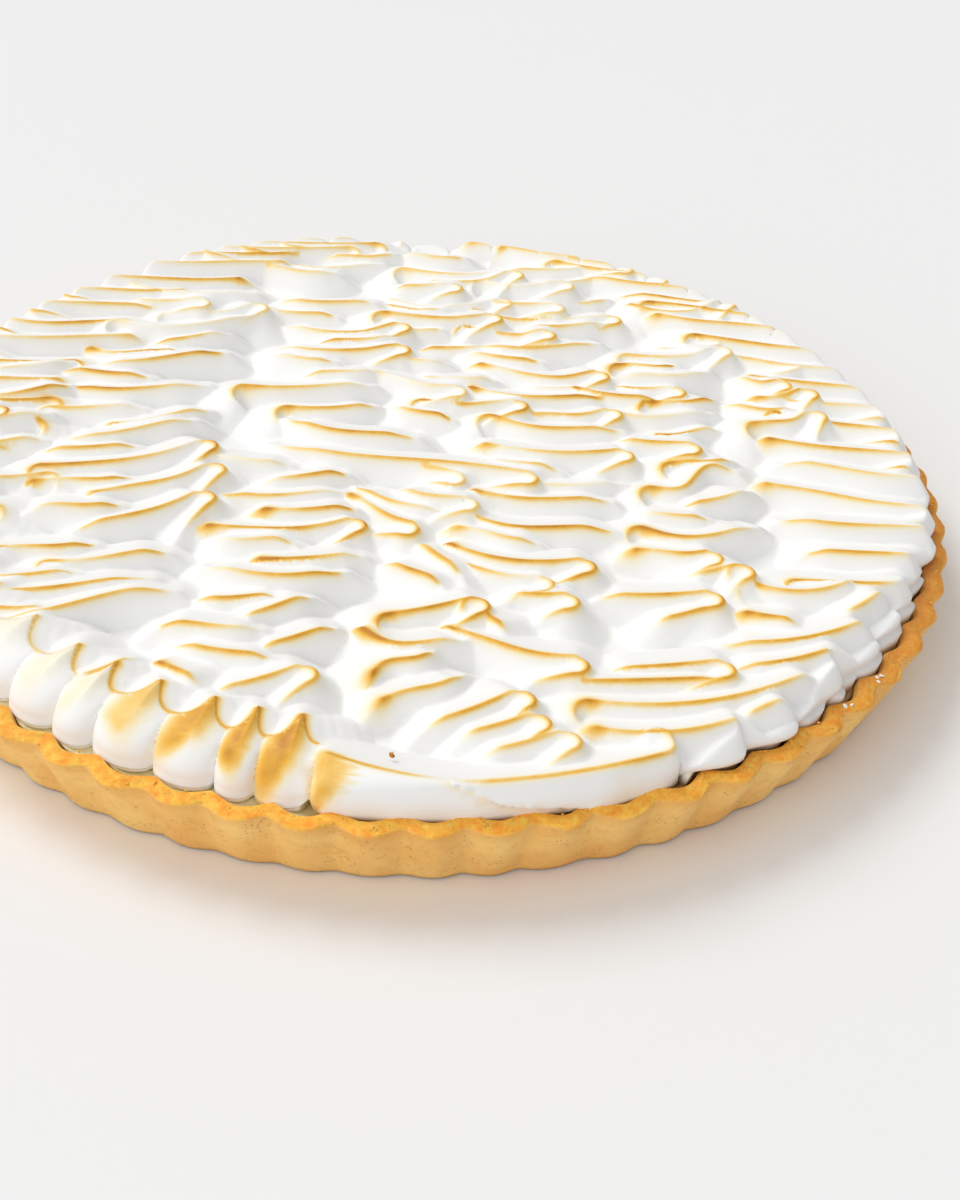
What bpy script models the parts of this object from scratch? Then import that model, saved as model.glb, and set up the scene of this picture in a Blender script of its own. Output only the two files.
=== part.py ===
"""Lemon meringue tart, whole and uncut, about 280 mm across.

A fluted shortcrust shell holds a set lemon filling, and toasted meringue is piped over it in
columns of leaning pleats, with rounded lobes round its edge and one long ribbon along the
front. The origin is the middle of the flat base, +Z is up, and the ribbon's side faces -Y.
Units are metres.
"""
import math
import random

import bpy
import numpy as np

# Shortcrust shell
RIM_RADIUS = 0.1400
BASE_RADIUS = 0.1327
SHELL_HEIGHT = 0.0192
RIM_WIDTH = 0.0046
FLOOR_THICKNESS = 0.0040
FLUTE_COUNT = 64
FLUTE_DEPTH = 0.0030
FLUTE_TURN = math.radians(-2.5)
RIM_WAVE = 0.0005
PIECE_GAP = 0.0003

# Filling
FILLING_TOP = 0.0165

# Meringue: overall sizes
MERINGUE_BASE = FILLING_TOP + PIECE_GAP
MERINGUE_RADIUS = 0.1370
RIBBON_RADIUS = 0.1354
DROOP_RADIUS = 0.1338
TUCKED_RADIUS = 0.1322
SHELF_HEIGHT = 0.0204
SHELF_DROP = 0.0004
CREST_HEIGHT = 0.0284
VALLEY_HEIGHT = 0.0202

# Meringue: form of a pleat, which is steep on the side it faces and gentle behind
PLEAT_PITCH = 0.0080
FRONT_SLOPE = 2.3
BACK_SLOPE = 0.38
LIP_RISE = 0.0004
LIP_WIDTH = 0.0008
BACK_REACH = 0.009
BACK_CURVE = 60.0
SIDE_SLOPE = 0.85
END_DROP = 0.0020
END_RISE = 0.0014
FINGER_RADIUS = 0.0032

# Meringue: form of the edge
WALL_SLOPE = 1.5
RIBBON_SLOPE = 4.3
WALL_RISE = 0.0022
RIBBON_RISE = 0.0040
RIBBON_FACE = 0.0246
RIBBON_LEAN = 0.0083
LEAN_SHARE = 0.45
CORNER_ROUND = 0.0010
TIP_REACH = 0.0036
LOBE_DEPTH = 0.0026
CREASE_REACH = 0.0060
EDGE_HEIGHT = 0.0238
EDGE_REACH = 0.012
EDGE_INSET = 0.0030
CORNER_SHARE = 0.78
FACE_FOOT = 0.0010
DROOP_REACH = 0.830 * RIM_RADIUS
DROOP_SCALLOP = 0.045 * RIM_RADIUS
CUSP_SHARE = 0.58
RIBBON_START = math.radians(-95.0)
RIBBON_END = math.radians(-61.3)

# Fineness of the meringue's mesh
FIELD_STEP = 0.0005
LINE_SPACING = 0.0009
MERINGUE_RINGS = 150
MERINGUE_TRIANGLES = 8880

# Creases between the lobes of the edge that can be told apart, in degrees, with the long
# ribbon in the widest gap; the rest of the way round they are drawn at random.
CREASE_DEGREES = (-127.6, -121.6, -116.9, -110.3, -104.1, -100.3, -95.0, -61.3, -54.3,
                  -47.7, -39.0, -31.2, -25.2, -20.9, -15.9)

# Columns of pleats: left and right side, front and back end as shares of the rim's radius,
# and the tilt of the pleats in degrees at the front, in the middle and at the back.
PLEAT_COLUMNS = (
    (-0.97, -0.70, -0.55, 0.62, (16.0, 10.0, 0.0)),
    (-0.68, -0.38, -0.72, 0.78, (16.0, 16.0, -8.0)),
    (-0.35, -0.08, -0.80, 0.90, (10.0, 4.0, -6.0)),
    (-0.07, 0.12, -0.86, -0.06, (26.0, -20.0, -30.0)),
    (-0.10, 0.16, 0.10, 0.94, (-6.0, 0.0, 6.0)),
    (0.10, 0.38, -0.56, 0.90, (-4.0, -6.0, 8.0)),
    (0.40, 0.62, -0.34, 0.80, (4.0, 7.0, -2.0)),
    (0.62, 0.78, 0.12, 0.60, (0.0, 6.0, 4.0)),
)

# Pleats that stand out from the columns: left and right end, how far the middle swings
# forward, how far it snakes, and how each end is finished.
BOLD_PLEATS = (
    ((0.332, -0.802), (0.545, -0.770), 0.020, 0.0, "bulb", "finger"),
    ((0.565, -0.745), (0.615, -0.718), 0.0, 0.0, "plain", "round"),
    ((0.323, -0.738), (0.660, -0.650), 0.034, 0.0, "curl", "round"),
    ((0.250, -0.695), (0.565, -0.664), 0.004, 0.0, "plain", "plain"),
    ((0.350, -0.652), (0.525, -0.628), 0.004, 0.0, "plain", "finger"),
    ((0.554, -0.623), (0.720, -0.572), 0.012, 0.0, "plain", "finger"),
    ((0.537, -0.560), (0.768, -0.500), 0.022, 0.0, "plain", "round"),
    ((0.437, -0.513), (0.537, -0.473), 0.004, 0.0, "plain", "plain"),
    ((0.590, -0.478), (0.665, -0.500), 0.002, 0.0, "bulb", "plain"),
    ((0.750, -0.462), (0.815, -0.410), 0.004, 0.0, "plain", "round"),
    ((0.612, -0.395), (0.765, -0.385), 0.022, 0.0, "curl", "round"),
    ((0.506, -0.374), (0.577, -0.353), 0.003, 0.0, "plain", "ring"),
    ((0.345, -0.447), (0.522, -0.438), 0.008, 0.0, "plain", "finger"),
    ((0.195, -0.462), (0.285, -0.470), 0.004, 0.0, "plain", "finger"),
    ((0.100, -0.572), (0.300, -0.640), 0.012, -0.004, "bulb", "finger"),
    ((0.145, -0.515), (0.188, -0.566), 0.003, 0.0, "bulb", "plain"),
    ((0.168, -0.870), (0.275, -0.828), 0.004, 0.0, "plain", "finger"),
    ((0.133, -0.832), (0.230, -0.792), 0.004, 0.0, "plain", "finger"),
    ((0.080, -0.812), (0.203, -0.740), 0.006, 0.0, "plain", "finger"),
    ((0.010, -0.765), (0.130, -0.690), 0.008, -0.006, "bulb", "plain"),
    ((-0.010, -0.700), (0.080, -0.635), 0.0, -0.010, "bulb", "plain"),
    ((0.000, -0.545), (0.130, -0.500), 0.004, 0.0, "curl", "ring"),
    ((-0.270, -0.010), (0.220, -0.090), 0.012, 0.010, "plain", "finger"),
    ((-0.250, 0.090), (0.010, 0.030), 0.034, 0.004, "plain", "plain"),
    ((0.110, -0.225), (0.380, -0.255), 0.026, 0.008, "bulb", "plain"),
    ((0.090, -0.330), (0.310, -0.365), 0.026, 0.0, "bulb", "finger"),
    ((0.030, -0.320), (0.110, -0.415), 0.004, 0.0, "plain", "plain"),
    ((-0.020, -0.390), (0.080, -0.450), 0.002, 0.0, "plain", "plain"),
    ((0.450, -0.100), (0.610, -0.020), 0.0, 0.022, "curl", "plain"),
    ((0.310, 0.265), (0.480, 0.235), 0.014, 0.0, "bulb", "plain"),
    ((-0.630, -0.620), (-0.350, -0.515), 0.0, 0.008, "plain", "plain"),
    ((-0.470, -0.760), (-0.380, -0.700), 0.010, 0.0, "plain", "plain"),
    ((-0.340, -0.710), (-0.280, -0.750), 0.0, 0.0, "bulb", "plain"),
    ((-0.330, -0.650), (-0.170, -0.680), 0.010, 0.0, "plain", "plain"),
    ((-0.250, -0.765), (-0.130, -0.710), 0.006, 0.0, "plain", "finger"),
    ((-0.200, -0.655), (-0.080, -0.590), 0.004, 0.0, "plain", "plain"),
    ((-0.240, -0.580), (-0.130, -0.510), 0.004, 0.0, "plain", "plain"),
)


def plain_material(name, colour, roughness):
    """A smooth, non-metallic surface in one colour."""
    material = bpy.data.materials.new(name)
    material.use_nodes = True
    surface = material.node_tree.nodes["Principled BSDF"]
    surface.inputs["Base Color"].default_value = (*colour, 1.0)
    surface.inputs["Roughness"].default_value = roughness
    surface.inputs["Metallic"].default_value = 0.0
    return material


def add_object(name, points, faces, material):
    """A named object whose place is in its mesh, shaded smooth up to its real edges."""
    mesh = bpy.data.meshes.new(name)
    mesh.from_pydata([tuple(float(c) for c in p) for p in points], [], faces)
    mesh.validate()
    mesh.shade_smooth()
    mesh.set_sharp_from_angle(angle=math.radians(40.0))
    mesh.materials.append(material)
    piece = bpy.data.objects.new(name, mesh)
    bpy.context.scene.collection.objects.link(piece)
    return piece


def smooth_step(value):
    """0 below 0, 1 above 1, and a smooth ramp between."""
    t = np.clip(value, 0.0, 1.0)
    return t * t * (3.0 - 2.0 * t)


def ring_faces(first, second, count):
    """Quads between two rings of points; the second ring lies above or inside the first."""
    return [(first + i, first + (i + 1) % count, second + (i + 1) % count, second + i)
            for i in range(count)]


def ring(radii, angles, heights):
    """Points round the axis."""
    return np.stack([radii * np.cos(angles), radii * np.sin(angles),
                     np.broadcast_to(heights, angles.shape)], axis=1)


def flute_angles():
    """Four points to a flute: its groove, its two shoulders and its crown."""
    pitch = 2.0 * math.pi / FLUTE_COUNT
    shares = (0.0, 0.25, 0.5, 0.75)
    return np.array([FLUTE_TURN + (n + s) * pitch for n in range(FLUTE_COUNT) for s in shares])


def flute_wave(angle):
    """1 on a flute's crown and 0 in its groove, both of them rounded."""
    return np.abs(np.sin(0.5 * FLUTE_COUNT * (angle - FLUTE_TURN))) ** 1.3


def rim_height(angle):
    """Height of the rim, a little uneven as hand-pressed pastry is."""
    wave = np.sin(5.0 * angle + 0.7) + 0.8 * np.sin(13.0 * angle) + 0.7 * np.sin(29.0 * angle + 2.0)
    return SHELL_HEIGHT + 0.4 * RIM_WAVE * wave


def wall_radius(share):
    """Outside of the shell, without its flutes, at a share of its height."""
    return BASE_RADIUS + (RIM_RADIUS - BASE_RADIUS) * share ** 0.9


def outer_radius(angle, share):
    """Outside of the shell at a share of its height, pressed deepest at the rim."""
    depth = FLUTE_DEPTH * (0.40 + 0.60 * share)
    return wall_radius(share) + depth * (flute_wave(angle) - 0.6)


def inner_radius(angle, share):
    """Inside of the shell: the same flutes, softened towards the floor."""
    depth = FLUTE_DEPTH * (0.25 + 0.65 * share)
    return wall_radius(share) - RIM_WIDTH + depth * (flute_wave(angle) - 0.6)


def make_crust():
    """Fluted shell with a floor: outside, rim and inside are rings joined by quads."""
    angles = flute_angles()
    count = len(angles)
    top = rim_height(angles)
    foot = 0.0011
    floor_share = FLOOR_THICKNESS / SHELL_HEIGHT
    rings = [
        ring(outer_radius(angles, 0.0) - 0.8 * foot, angles, 0.0),
        ring(outer_radius(angles, foot / SHELL_HEIGHT), angles, foot),
        ring(outer_radius(angles, 0.5), angles, 0.5 * SHELL_HEIGHT),
        ring(outer_radius(angles, 1.0), angles, top - 0.0008),
        ring(outer_radius(angles, 1.0) - 0.0009, angles, top),
        ring(inner_radius(angles, 1.0) + 0.0006, angles, top - 0.0002),
        ring(inner_radius(angles, 0.62), angles, 0.62 * SHELL_HEIGHT),
        ring(inner_radius(angles, floor_share) - 0.0012, angles, FLOOR_THICKNESS),
    ]
    faces = []
    for level in range(len(rings) - 1):
        faces += ring_faces(level * count, (level + 1) * count, count)
    last = (len(rings) - 1) * count
    points = np.concatenate(rings + [np.array([[0.0, 0.0, 0.0], [0.0, 0.0, FLOOR_THICKNESS]])])
    under = len(points) - 2
    floor = len(points) - 1
    for i in range(count):
        j = (i + 1) % count
        faces.append((under, j, i))
        faces.append((floor, last + i, last + j))
    crust_material = plain_material("baked_shortcrust", (0.68, 0.40, 0.13), 0.75)
    return add_object("crust", points, faces, crust_material)


def make_filling():
    """Set filling that fills the shell from its floor to just under the rim."""
    angles = flute_angles()[::2]
    count = len(angles)
    bottom_share = FLOOR_THICKNESS / SHELL_HEIGHT
    knee_share = 0.62
    top_share = FILLING_TOP / SHELL_HEIGHT
    side_gap = 1.3 * PIECE_GAP
    rings = [
        ring(inner_radius(angles, bottom_share) - 0.0012 - side_gap, angles,
             FLOOR_THICKNESS + PIECE_GAP),
        ring(inner_radius(angles, knee_share) - side_gap, angles, knee_share * SHELL_HEIGHT),
        ring(inner_radius(angles, top_share) - side_gap - 0.0003, angles, FILLING_TOP),
    ]
    faces = ring_faces(0, count, count) + ring_faces(count, 2 * count, count)
    ends = np.array([[0.0, 0.0, FLOOR_THICKNESS + PIECE_GAP], [0.0, 0.0, FILLING_TOP]])
    points = np.concatenate(rings + [ends])
    bottom = len(points) - 2
    top = len(points) - 1
    for i in range(count):
        j = (i + 1) % count
        faces.append((bottom, j, i))
        faces.append((top, 2 * count + i, 2 * count + j))
    filling_material = plain_material("lemon_curd", (0.84, 0.72, 0.38), 0.3)
    return add_object("lemon_filling", points, faces, filling_material)


def crest_rows(points, facing, heights):
    """One row a point of a crest: x, y, facing x, facing y and height."""
    return np.column_stack([points, facing, np.broadcast_to(heights, len(points))])


def course_of(points):
    """Unit direction of travel along a line of points, and the direction to its right."""
    course = np.gradient(points, axis=0)
    course /= np.linalg.norm(course, axis=1)[:, None]
    return course, np.column_stack([course[:, 1], -course[:, 0]])


def curl_rows(start, course, facing, length, crest):
    """Left end turned forward round a hollow, so that its steep side faces inward."""
    radius = min(0.0028, 0.22 * length)
    turn = np.linspace(0.0, math.radians(150.0), max(5, int(2.6 * radius / LINE_SPACING)))
    outward = -np.outer(np.cos(turn), facing) - np.outer(np.sin(turn), course)
    return crest_rows(start + facing * radius + outward * radius, -outward,
                      crest - 0.0022 * (turn / turn[-1]) ** 2)


def finger_rows(end, course, facing, length, radius, start, crest):
    """Right end turned forward into a rounded tongue, whose front lip runs back a little."""
    turn = np.linspace(start, math.pi, max(6, int(3.0 * radius / LINE_SPACING)))
    outward = -np.outer(np.cos(turn), facing) + np.outer(np.sin(turn), course)
    tip = crest_rows(end + facing * radius + outward * radius, outward,
                     crest - 0.0004 * (1.0 - smooth_step((turn - start) / 1.2)))
    back = np.linspace(0.0, 1.0, max(5, int(0.4 * length / LINE_SPACING)))
    way = -course + 0.12 * facing
    lip = crest_rows(end + 2.0 * radius * facing + np.outer(back * min(0.009, 0.42 * length), way),
                     np.tile(facing, (len(back), 1)), crest - 0.0026 * back ** 1.3)
    return [tip, lip]


def pleat_rows(left, right, sag, snake, ends, crest):
    """Crest of one pleat and of its turned ends; the side it faces is the steep one."""
    left_end, right_end = ends
    length = math.dist(left, right)
    front = np.array([right[1] - left[1], left[0] - right[0]]) / length
    share = np.linspace(0.0, 1.0, max(4, int(length / LINE_SPACING)))
    bow = 4.0 * sag * share * (1.0 - share) + snake * np.sin(2.0 * math.pi * share)
    points = np.outer(1.0 - share, left) + np.outer(share, right) + np.outer(bow, front)
    course, facing = course_of(points)
    drop = END_RISE * (0.5 - share)
    drop += END_DROP * (1.0 - smooth_step(share / 0.25)) * (left_end == "plain")
    drop += END_DROP * (1.0 - smooth_step((1.0 - share) / 0.25)) * (right_end == "plain")
    rows = [crest_rows(points, facing, crest - drop)]
    if left_end == "curl":
        rows.append(curl_rows(points[0], course[0], facing[0], length, crest - drop[0]))
    if right_end in ("finger", "ring"):
        turned = math.radians(20.0 if right_end == "finger" else -60.0)
        rows += finger_rows(points[-1], course[-1], facing[-1], length,
                            min(FINGER_RADIUS, 0.35 * length), turned, crest - drop[-1])
    return rows


def column_pleats():
    """Pleats in their columns from back to front: whole ones, left parts and right parts."""
    draw = random.Random(23)
    kinds = {"whole": (-0.95, 0.95), "left": (-1.0, 0.15), "right": (-0.25, 1.0)}
    taken = RIM_RADIUS * np.array([
        np.add(np.multiply(1.0 - t, left), np.multiply(t, right))
        for left, right, *_ in BOLD_PLEATS for t in (0.0, 0.25, 0.5, 0.75, 1.0)])
    rows = []
    for x_left, x_right, y_front, y_back, tilts in PLEAT_COLUMNS:
        middle = 0.5 * (x_left + x_right) * RIM_RADIUS
        half = 0.5 * (x_right - x_left) * RIM_RADIUS
        y = y_back * RIM_RADIUS
        kind = "whole"
        while y > y_front * RIM_RADIUS:
            along = (y / RIM_RADIUS - y_front) / (y_back - y_front)
            tilt = math.radians(np.interp(along, (0.0, 0.5, 1.0), tilts) + draw.uniform(-7.0, 7.0))
            kind = draw.choice([other for other in kinds if other != kind])
            u_left, u_right = (u * draw.uniform(0.8, 1.1) for u in kinds[kind])
            swing = draw.uniform(0.0022, 0.0060)
            shift = middle + 0.003 * math.sin(y * 60.0 + middle * 40.0)
            left, right = ((shift + half * u, y + half * u * math.tan(tilt) + swing * u * u)
                           for u in (u_left, u_right))
            ends = (draw.choice(("plain", "plain", "bulb", "curl")),
                    draw.choice(("plain", "finger", "plain")))
            snake = draw.uniform(-0.0008, 0.0008)
            crest = CREST_HEIGHT + draw.uniform(-0.0012, 0.0006)
            centre = np.add(left, right) / 2.0
            clear = np.hypot(*(taken - centre).T).min() > 0.0055
            inside = max(math.hypot(*left), math.hypot(*right)) < MERINGUE_RADIUS - 0.004
            if clear and inside and draw.random() > 0.08:
                rows += pleat_rows(left, right, 0.25 * swing * (u_right - u_left) ** 2, snake,
                                   ends, crest)
            y -= 0.5 * PLEAT_PITCH * draw.uniform(1.5, 2.3)
    return rows


def chosen_pleats():
    """The pleats that stand out from the columns."""
    rows = []
    for left, right, sag, snake, left_end, right_end in BOLD_PLEATS:
        rows += pleat_rows(np.multiply(left, RIM_RADIUS), np.multiply(right, RIM_RADIUS),
                           sag * RIM_RADIUS, snake * RIM_RADIUS, (left_end, right_end),
                           CREST_HEIGHT)
    return rows


def edge_pleats(creases):
    """Pleats that run out to the corners of the upright lobes, mirrored on the left side.

    At the front right the chosen pleats stand in for them.
    """
    draw = random.Random(12)
    rows = []
    for crease, width in zip(creases[:-1], np.diff(creases)):
        corner = math.degrees(crease + CORNER_SHARE * width)
        side = (corner + 180.0) % 360.0 - 180.0
        mirrored = abs(side) > 90.0
        side = math.copysign(180.0, side) - side if mirrored else side
        chosen = not mirrored and -62.0 < side < -24.0
        if abs(side) > 72.0 or chosen or droop(math.radians(corner)) > 0.5:
            continue
        tilt = math.radians(np.interp(side, (-62.0, -28.0, -19.0, -10.0, 20.0, 72.0),
                                      (26.0, 20.0, 0.0, -10.0, -9.0, -16.0)) + draw.uniform(-4.0, 4.0))
        length = RIM_RADIUS * np.interp(side, (-62.0, -40.0, -28.0, -15.0, 72.0),
                                        (0.22, 0.15, 0.13, 0.26, 0.29)) * draw.uniform(0.8, 1.1)
        reach = MERINGUE_RADIUS - TIP_REACH
        right = (reach * math.cos(math.radians(side)), reach * math.sin(math.radians(side)))
        left = (right[0] - length * math.cos(tilt), right[1] - length * math.sin(tilt))
        ends = (draw.choice(("plain", "bulb", "curl")), draw.choice(("round", "finger")))
        crest = CREST_HEIGHT + draw.uniform(-0.0012, 0.0002)
        for row in pleat_rows(left, right, draw.uniform(0.0, 0.0022), draw.uniform(-0.0008, 0.0008),
                              ends, crest):
            if mirrored:
                row[:, (0, 2)] *= -1.0
            rows.append(row)
    return rows


def ribbon_pleat():
    """The long ribbon along the front edge, whose right end turns back as a rounded loop."""
    loop = 0.0042
    angles = np.arange(RIBBON_START + 0.02, RIBBON_END - 0.03, LINE_SPACING / RIBBON_RADIUS)
    outward = np.column_stack([np.cos(angles), np.sin(angles)])
    radius = ribbon_crest(angles)
    front = crest_rows(outward * radius[:, None], outward, CREST_HEIGHT)
    along = np.array([-outward[-1][1], outward[-1][0]])
    turn = np.linspace(-0.5 * math.pi, 0.5 * math.pi, int(loop * math.pi / LINE_SPACING))
    around_tip = np.outer(np.cos(turn), along) + np.outer(np.sin(-turn), outward[-1])
    tip = crest_rows(outward[-1] * (radius[-1] - loop) + around_tip * loop, around_tip, CREST_HEIGHT)
    return [front, tip]


def droop_pleat(creases):
    """Scalloped crest above the drooping lobes."""
    angles = np.arange(math.radians(-158.0), RIBBON_START, LINE_SPACING / MERINGUE_RADIUS)
    radius = droop_crest(angles, creases)
    points = np.column_stack([radius * np.cos(angles), radius * np.sin(angles)])
    return [crest_rows(points, course_of(points)[1], droop_height(radius))]


def droop_height(crest_radius):
    """Height of the scalloped crest, which hangs lower where it swings outward."""
    return CREST_HEIGHT + 0.0006 - 0.0022 * (crest_radius - DROOP_REACH) / DROOP_SCALLOP


def lobe_creases():
    """Angles of the creases between the edge's lobes, rising all the way round."""
    draw = random.Random(7)
    found = [math.radians(angle) for angle in CREASE_DEGREES]
    while found[-1] < found[0] + 2.0 * math.pi - math.radians(6.0):
        found.append(found[-1] + math.radians(draw.uniform(4.6, 7.0)))
    found[-1] = found[0] + 2.0 * math.pi
    return np.array(found)


def near_angle(angle, middle, half, soft):
    """1 within half of a middle angle and 0 beyond, with soft ends; the last three in degrees."""
    away = np.abs(np.mod(np.degrees(angle) - middle + 180.0, 360.0) - 180.0)
    return smooth_step((half - away) / soft + 0.5)


def droop(angle):
    """1 where the lobes droop softly, at the front left, and 0 where the edge is upright."""
    return near_angle(angle, -127.0, 32.0, 3.0)


def lobe_place(angle, creases):
    """How far across its lobe an angle lies, from 0 to 1, and the lobe's width in radians."""
    turned = np.mod(angle - creases[0], 2.0 * math.pi) + creases[0]
    index = np.clip(np.searchsorted(creases, turned, side="right"), 1, len(creases) - 1)
    width = creases[index] - creases[index - 1]
    return (turned - creases[index - 1]) / width, width


def crease_depth(angle, creases):
    """0 on a lobe's ridge and 1 in the creases beside it; those at the right lean over."""
    place, width = lobe_place(angle, creases)
    place = place ** (1.0 + 1.79 * near_angle(angle, -25.0, 38.0, 8.0))
    power = np.where(width > math.radians(12.0), 9.0, 2.2)
    return 1.0 - np.sqrt(np.clip(1.0 - np.abs(2.0 * place - 1.0) ** power, 0.0, 1.0))


def on_ribbon(angle):
    """1 along the long ribbon and 0 beyond its ends."""
    return near_angle(angle, -78.1, 16.9, 2.0)


def ribbon_crest(angle):
    """Radius of the ribbon's crest, which leans back from the edge toward its left end."""
    along = np.mod(angle - RIBBON_START + math.pi, 2.0 * math.pi) - math.pi
    share = along / (RIBBON_END - RIBBON_START)
    lean = np.clip(1.0 - share / LEAN_SHARE, 0.0, 1.0) ** 1.5
    return RIBBON_RADIUS - 0.0012 - RIBBON_LEAN * lean


def edge_radius(angle, creases):
    """Radius of the meringue's edge where it bulges most."""
    radius = MERINGUE_RADIUS - EDGE_INSET * near_angle(angle, -30.0, 15.0, 5.0)
    radius = radius + (RIBBON_RADIUS - radius) * on_ribbon(angle)
    radius = radius + (DROOP_RADIUS - radius) * droop(angle)
    return radius - LOBE_DEPTH * crease_depth(angle, creases)


def droop_crest(angle, creases):
    """Radius of the crest above the drooping lobes, with a cusp inward on each lobe's ridge."""
    place, _ = lobe_place(angle, creases)
    aside = np.where(place < CUSP_SHARE, 1.0 - place / CUSP_SHARE,
                     (place - CUSP_SHARE) / (1.0 - CUSP_SHARE))
    return DROOP_REACH + DROOP_SCALLOP * (1.0 - (1.0 - aside) ** 2.6)


def soften(field, sigma):
    """A small blur, so that creases and crests are soft as whipped egg white is."""
    reach = max(1, int(3.0 * sigma))
    kernel = np.exp(-0.5 * (np.arange(-reach, reach + 1) / sigma) ** 2)
    kernel /= kernel.sum()
    for axis in (0, 1):
        padded = np.pad(field, [(reach, reach) if a == axis else (0, 0) for a in (0, 1)], "edge")
        field = sum(weight * np.take(padded, np.arange(k, k + field.shape[axis]), axis)
                    for k, weight in enumerate(kernel))
    return field


def raise_field(axis, rows):
    """Height of the piped surface over a level grid: the highest pleat at each point."""
    field = np.full((len(axis), len(axis)), VALLEY_HEIGHT)
    window = 0.016
    for x, y, facing_x, facing_y, crest in np.concatenate(rows):
        i0, i1 = np.searchsorted(axis, (x - window, x + window))
        j0, j1 = np.searchsorted(axis, (y - window, y + window))
        dx = axis[None, i0:i1] - x
        dy = axis[j0:j1, None] - y
        ahead = dx * facing_x + dy * facing_y
        beside = np.maximum(np.abs(dx * facing_y - dy * facing_x) - 0.5 * LINE_SPACING, 0.0)
        behind = np.maximum(-ahead, 0.0)
        front = FRONT_SLOPE * np.maximum(ahead, 0.0)
        back = (BACK_SLOPE * behind + LIP_RISE * (1.0 - np.exp(-behind / LIP_WIDTH))
                + BACK_CURVE * np.maximum(behind - BACK_REACH, 0.0) ** 2)
        patch = field[j0:j1, i0:i1]
        np.maximum(patch, crest - np.hypot(front + back, SIDE_SLOPE * beside), out=patch)
    return soften(field, 0.0007 / (axis[1] - axis[0]))


def read_field(field, axis, x, y):
    """Height between the grid's points."""
    step = axis[1] - axis[0]
    u = np.clip((x - axis[0]) / step, 0.0, len(axis) - 1.001)
    v = np.clip((y - axis[0]) / step, 0.0, len(axis) - 1.001)
    i = u.astype(int)
    j = v.astype(int)
    a = u - i
    b = v - j
    low = field[j, i] * (1.0 - a) + field[j, i + 1] * a
    high = field[j + 1, i] * (1.0 - a) + field[j + 1, i + 1] * a
    return low * (1.0 - b) + high * b


def disc_points(rings):
    """Angle and share of the radius of points in rings of 6, 12, 18 and so on, centre first."""
    angles = [np.zeros(1)]
    shares = [np.zeros(1)]
    for n in range(1, rings + 1):
        angles.append(np.arange(6 * n) * math.pi / (3.0 * n))
        shares.append(np.full(6 * n, n / rings))
    return np.concatenate(angles), np.concatenate(shares)


def disc_faces(rings):
    """Triangles between the rings of disc_points."""
    faces = []
    for n in range(1, rings + 1):
        outer = 1 + 3 * n * (n - 1)
        inner = 1 + 3 * (n - 1) * (n - 2) if n > 1 else 0
        outer_count = 6 * n
        inner_count = max(1, 6 * (n - 1))
        for side in range(6):
            for k in range(n):
                a = outer + side * n + k
                b = outer + (side * n + k + 1) % outer_count
                c = inner + (side * (n - 1) + k) % inner_count
                faces.append((a, b, c))
                if k < n - 1:
                    d = inner + (side * (n - 1) + k + 1) % inner_count
                    faces.append((b, d, c))
    return faces


def top_height(angle, radius, field_height, creases):
    """Height of the piped top: pleats cut off by a sloping wall, or lobes that droop."""
    edge = edge_radius(angle, creases)
    crease = crease_depth(angle, creases)
    inward = edge - radius
    near_edge = smooth_step(1.0 - inward / EDGE_REACH)
    upright = np.maximum(field_height, VALLEY_HEIGHT + (EDGE_HEIGHT - VALLEY_HEIGHT) * near_edge)
    upright = upright - 0.0020 * crease * smooth_step(1.0 - inward / CREASE_REACH)
    ribbon = on_ribbon(angle)
    lean = ribbon_crest(angle)
    across = np.clip((radius - lean) / (edge - lean), 0.0, 1.0)
    face = RIBBON_FACE + (CREST_HEIGHT - 0.0003 - RIBBON_FACE) * np.sqrt(1.0 - across ** 2)
    upright = np.maximum(upright, face * ribbon * (radius > lean))
    slope = WALL_SLOPE + (RIBBON_SLOPE - WALL_SLOPE) * ribbon
    rise = WALL_RISE + (RIBBON_RISE - WALL_RISE) * ribbon
    wall = SHELF_HEIGHT + rise + slope * inward
    upright = 0.5 * (upright + wall - np.hypot(upright - wall, CORNER_ROUND))
    crest = droop_crest(angle, creases)
    out = np.clip((radius - crest) / (edge - crest), 0.0, 1.0)
    foot = MERINGUE_BASE + FACE_FOOT
    lobe = foot + (droop_height(crest) - 0.0008 * crease - foot) * np.sqrt(1.0 - out ** 2.2)
    soft = droop(angle) * (radius > crest)
    return upright * (1.0 - soft) + lobe * soft


def meringue_top(creases):
    """Points of the piped top, ring by ring out to the edge."""
    rows = (column_pleats() + chosen_pleats() + edge_pleats(creases) + ribbon_pleat()
            + droop_pleat(creases))
    reach = MERINGUE_RADIUS + 0.003
    axis = np.arange(-reach, reach + FIELD_STEP, FIELD_STEP)
    field = raise_field(axis, rows)
    angles, shares = disc_points(MERINGUE_RINGS)
    lobed = smooth_step((shares - 0.90) / 0.10)
    radius = shares * (MERINGUE_RADIUS + (edge_radius(angles, creases) - MERINGUE_RADIUS) * lobed)
    x = radius * np.cos(angles)
    y = radius * np.sin(angles)
    return np.column_stack([x, y, top_height(angles, radius, read_field(field, axis, x, y), creases)])


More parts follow.
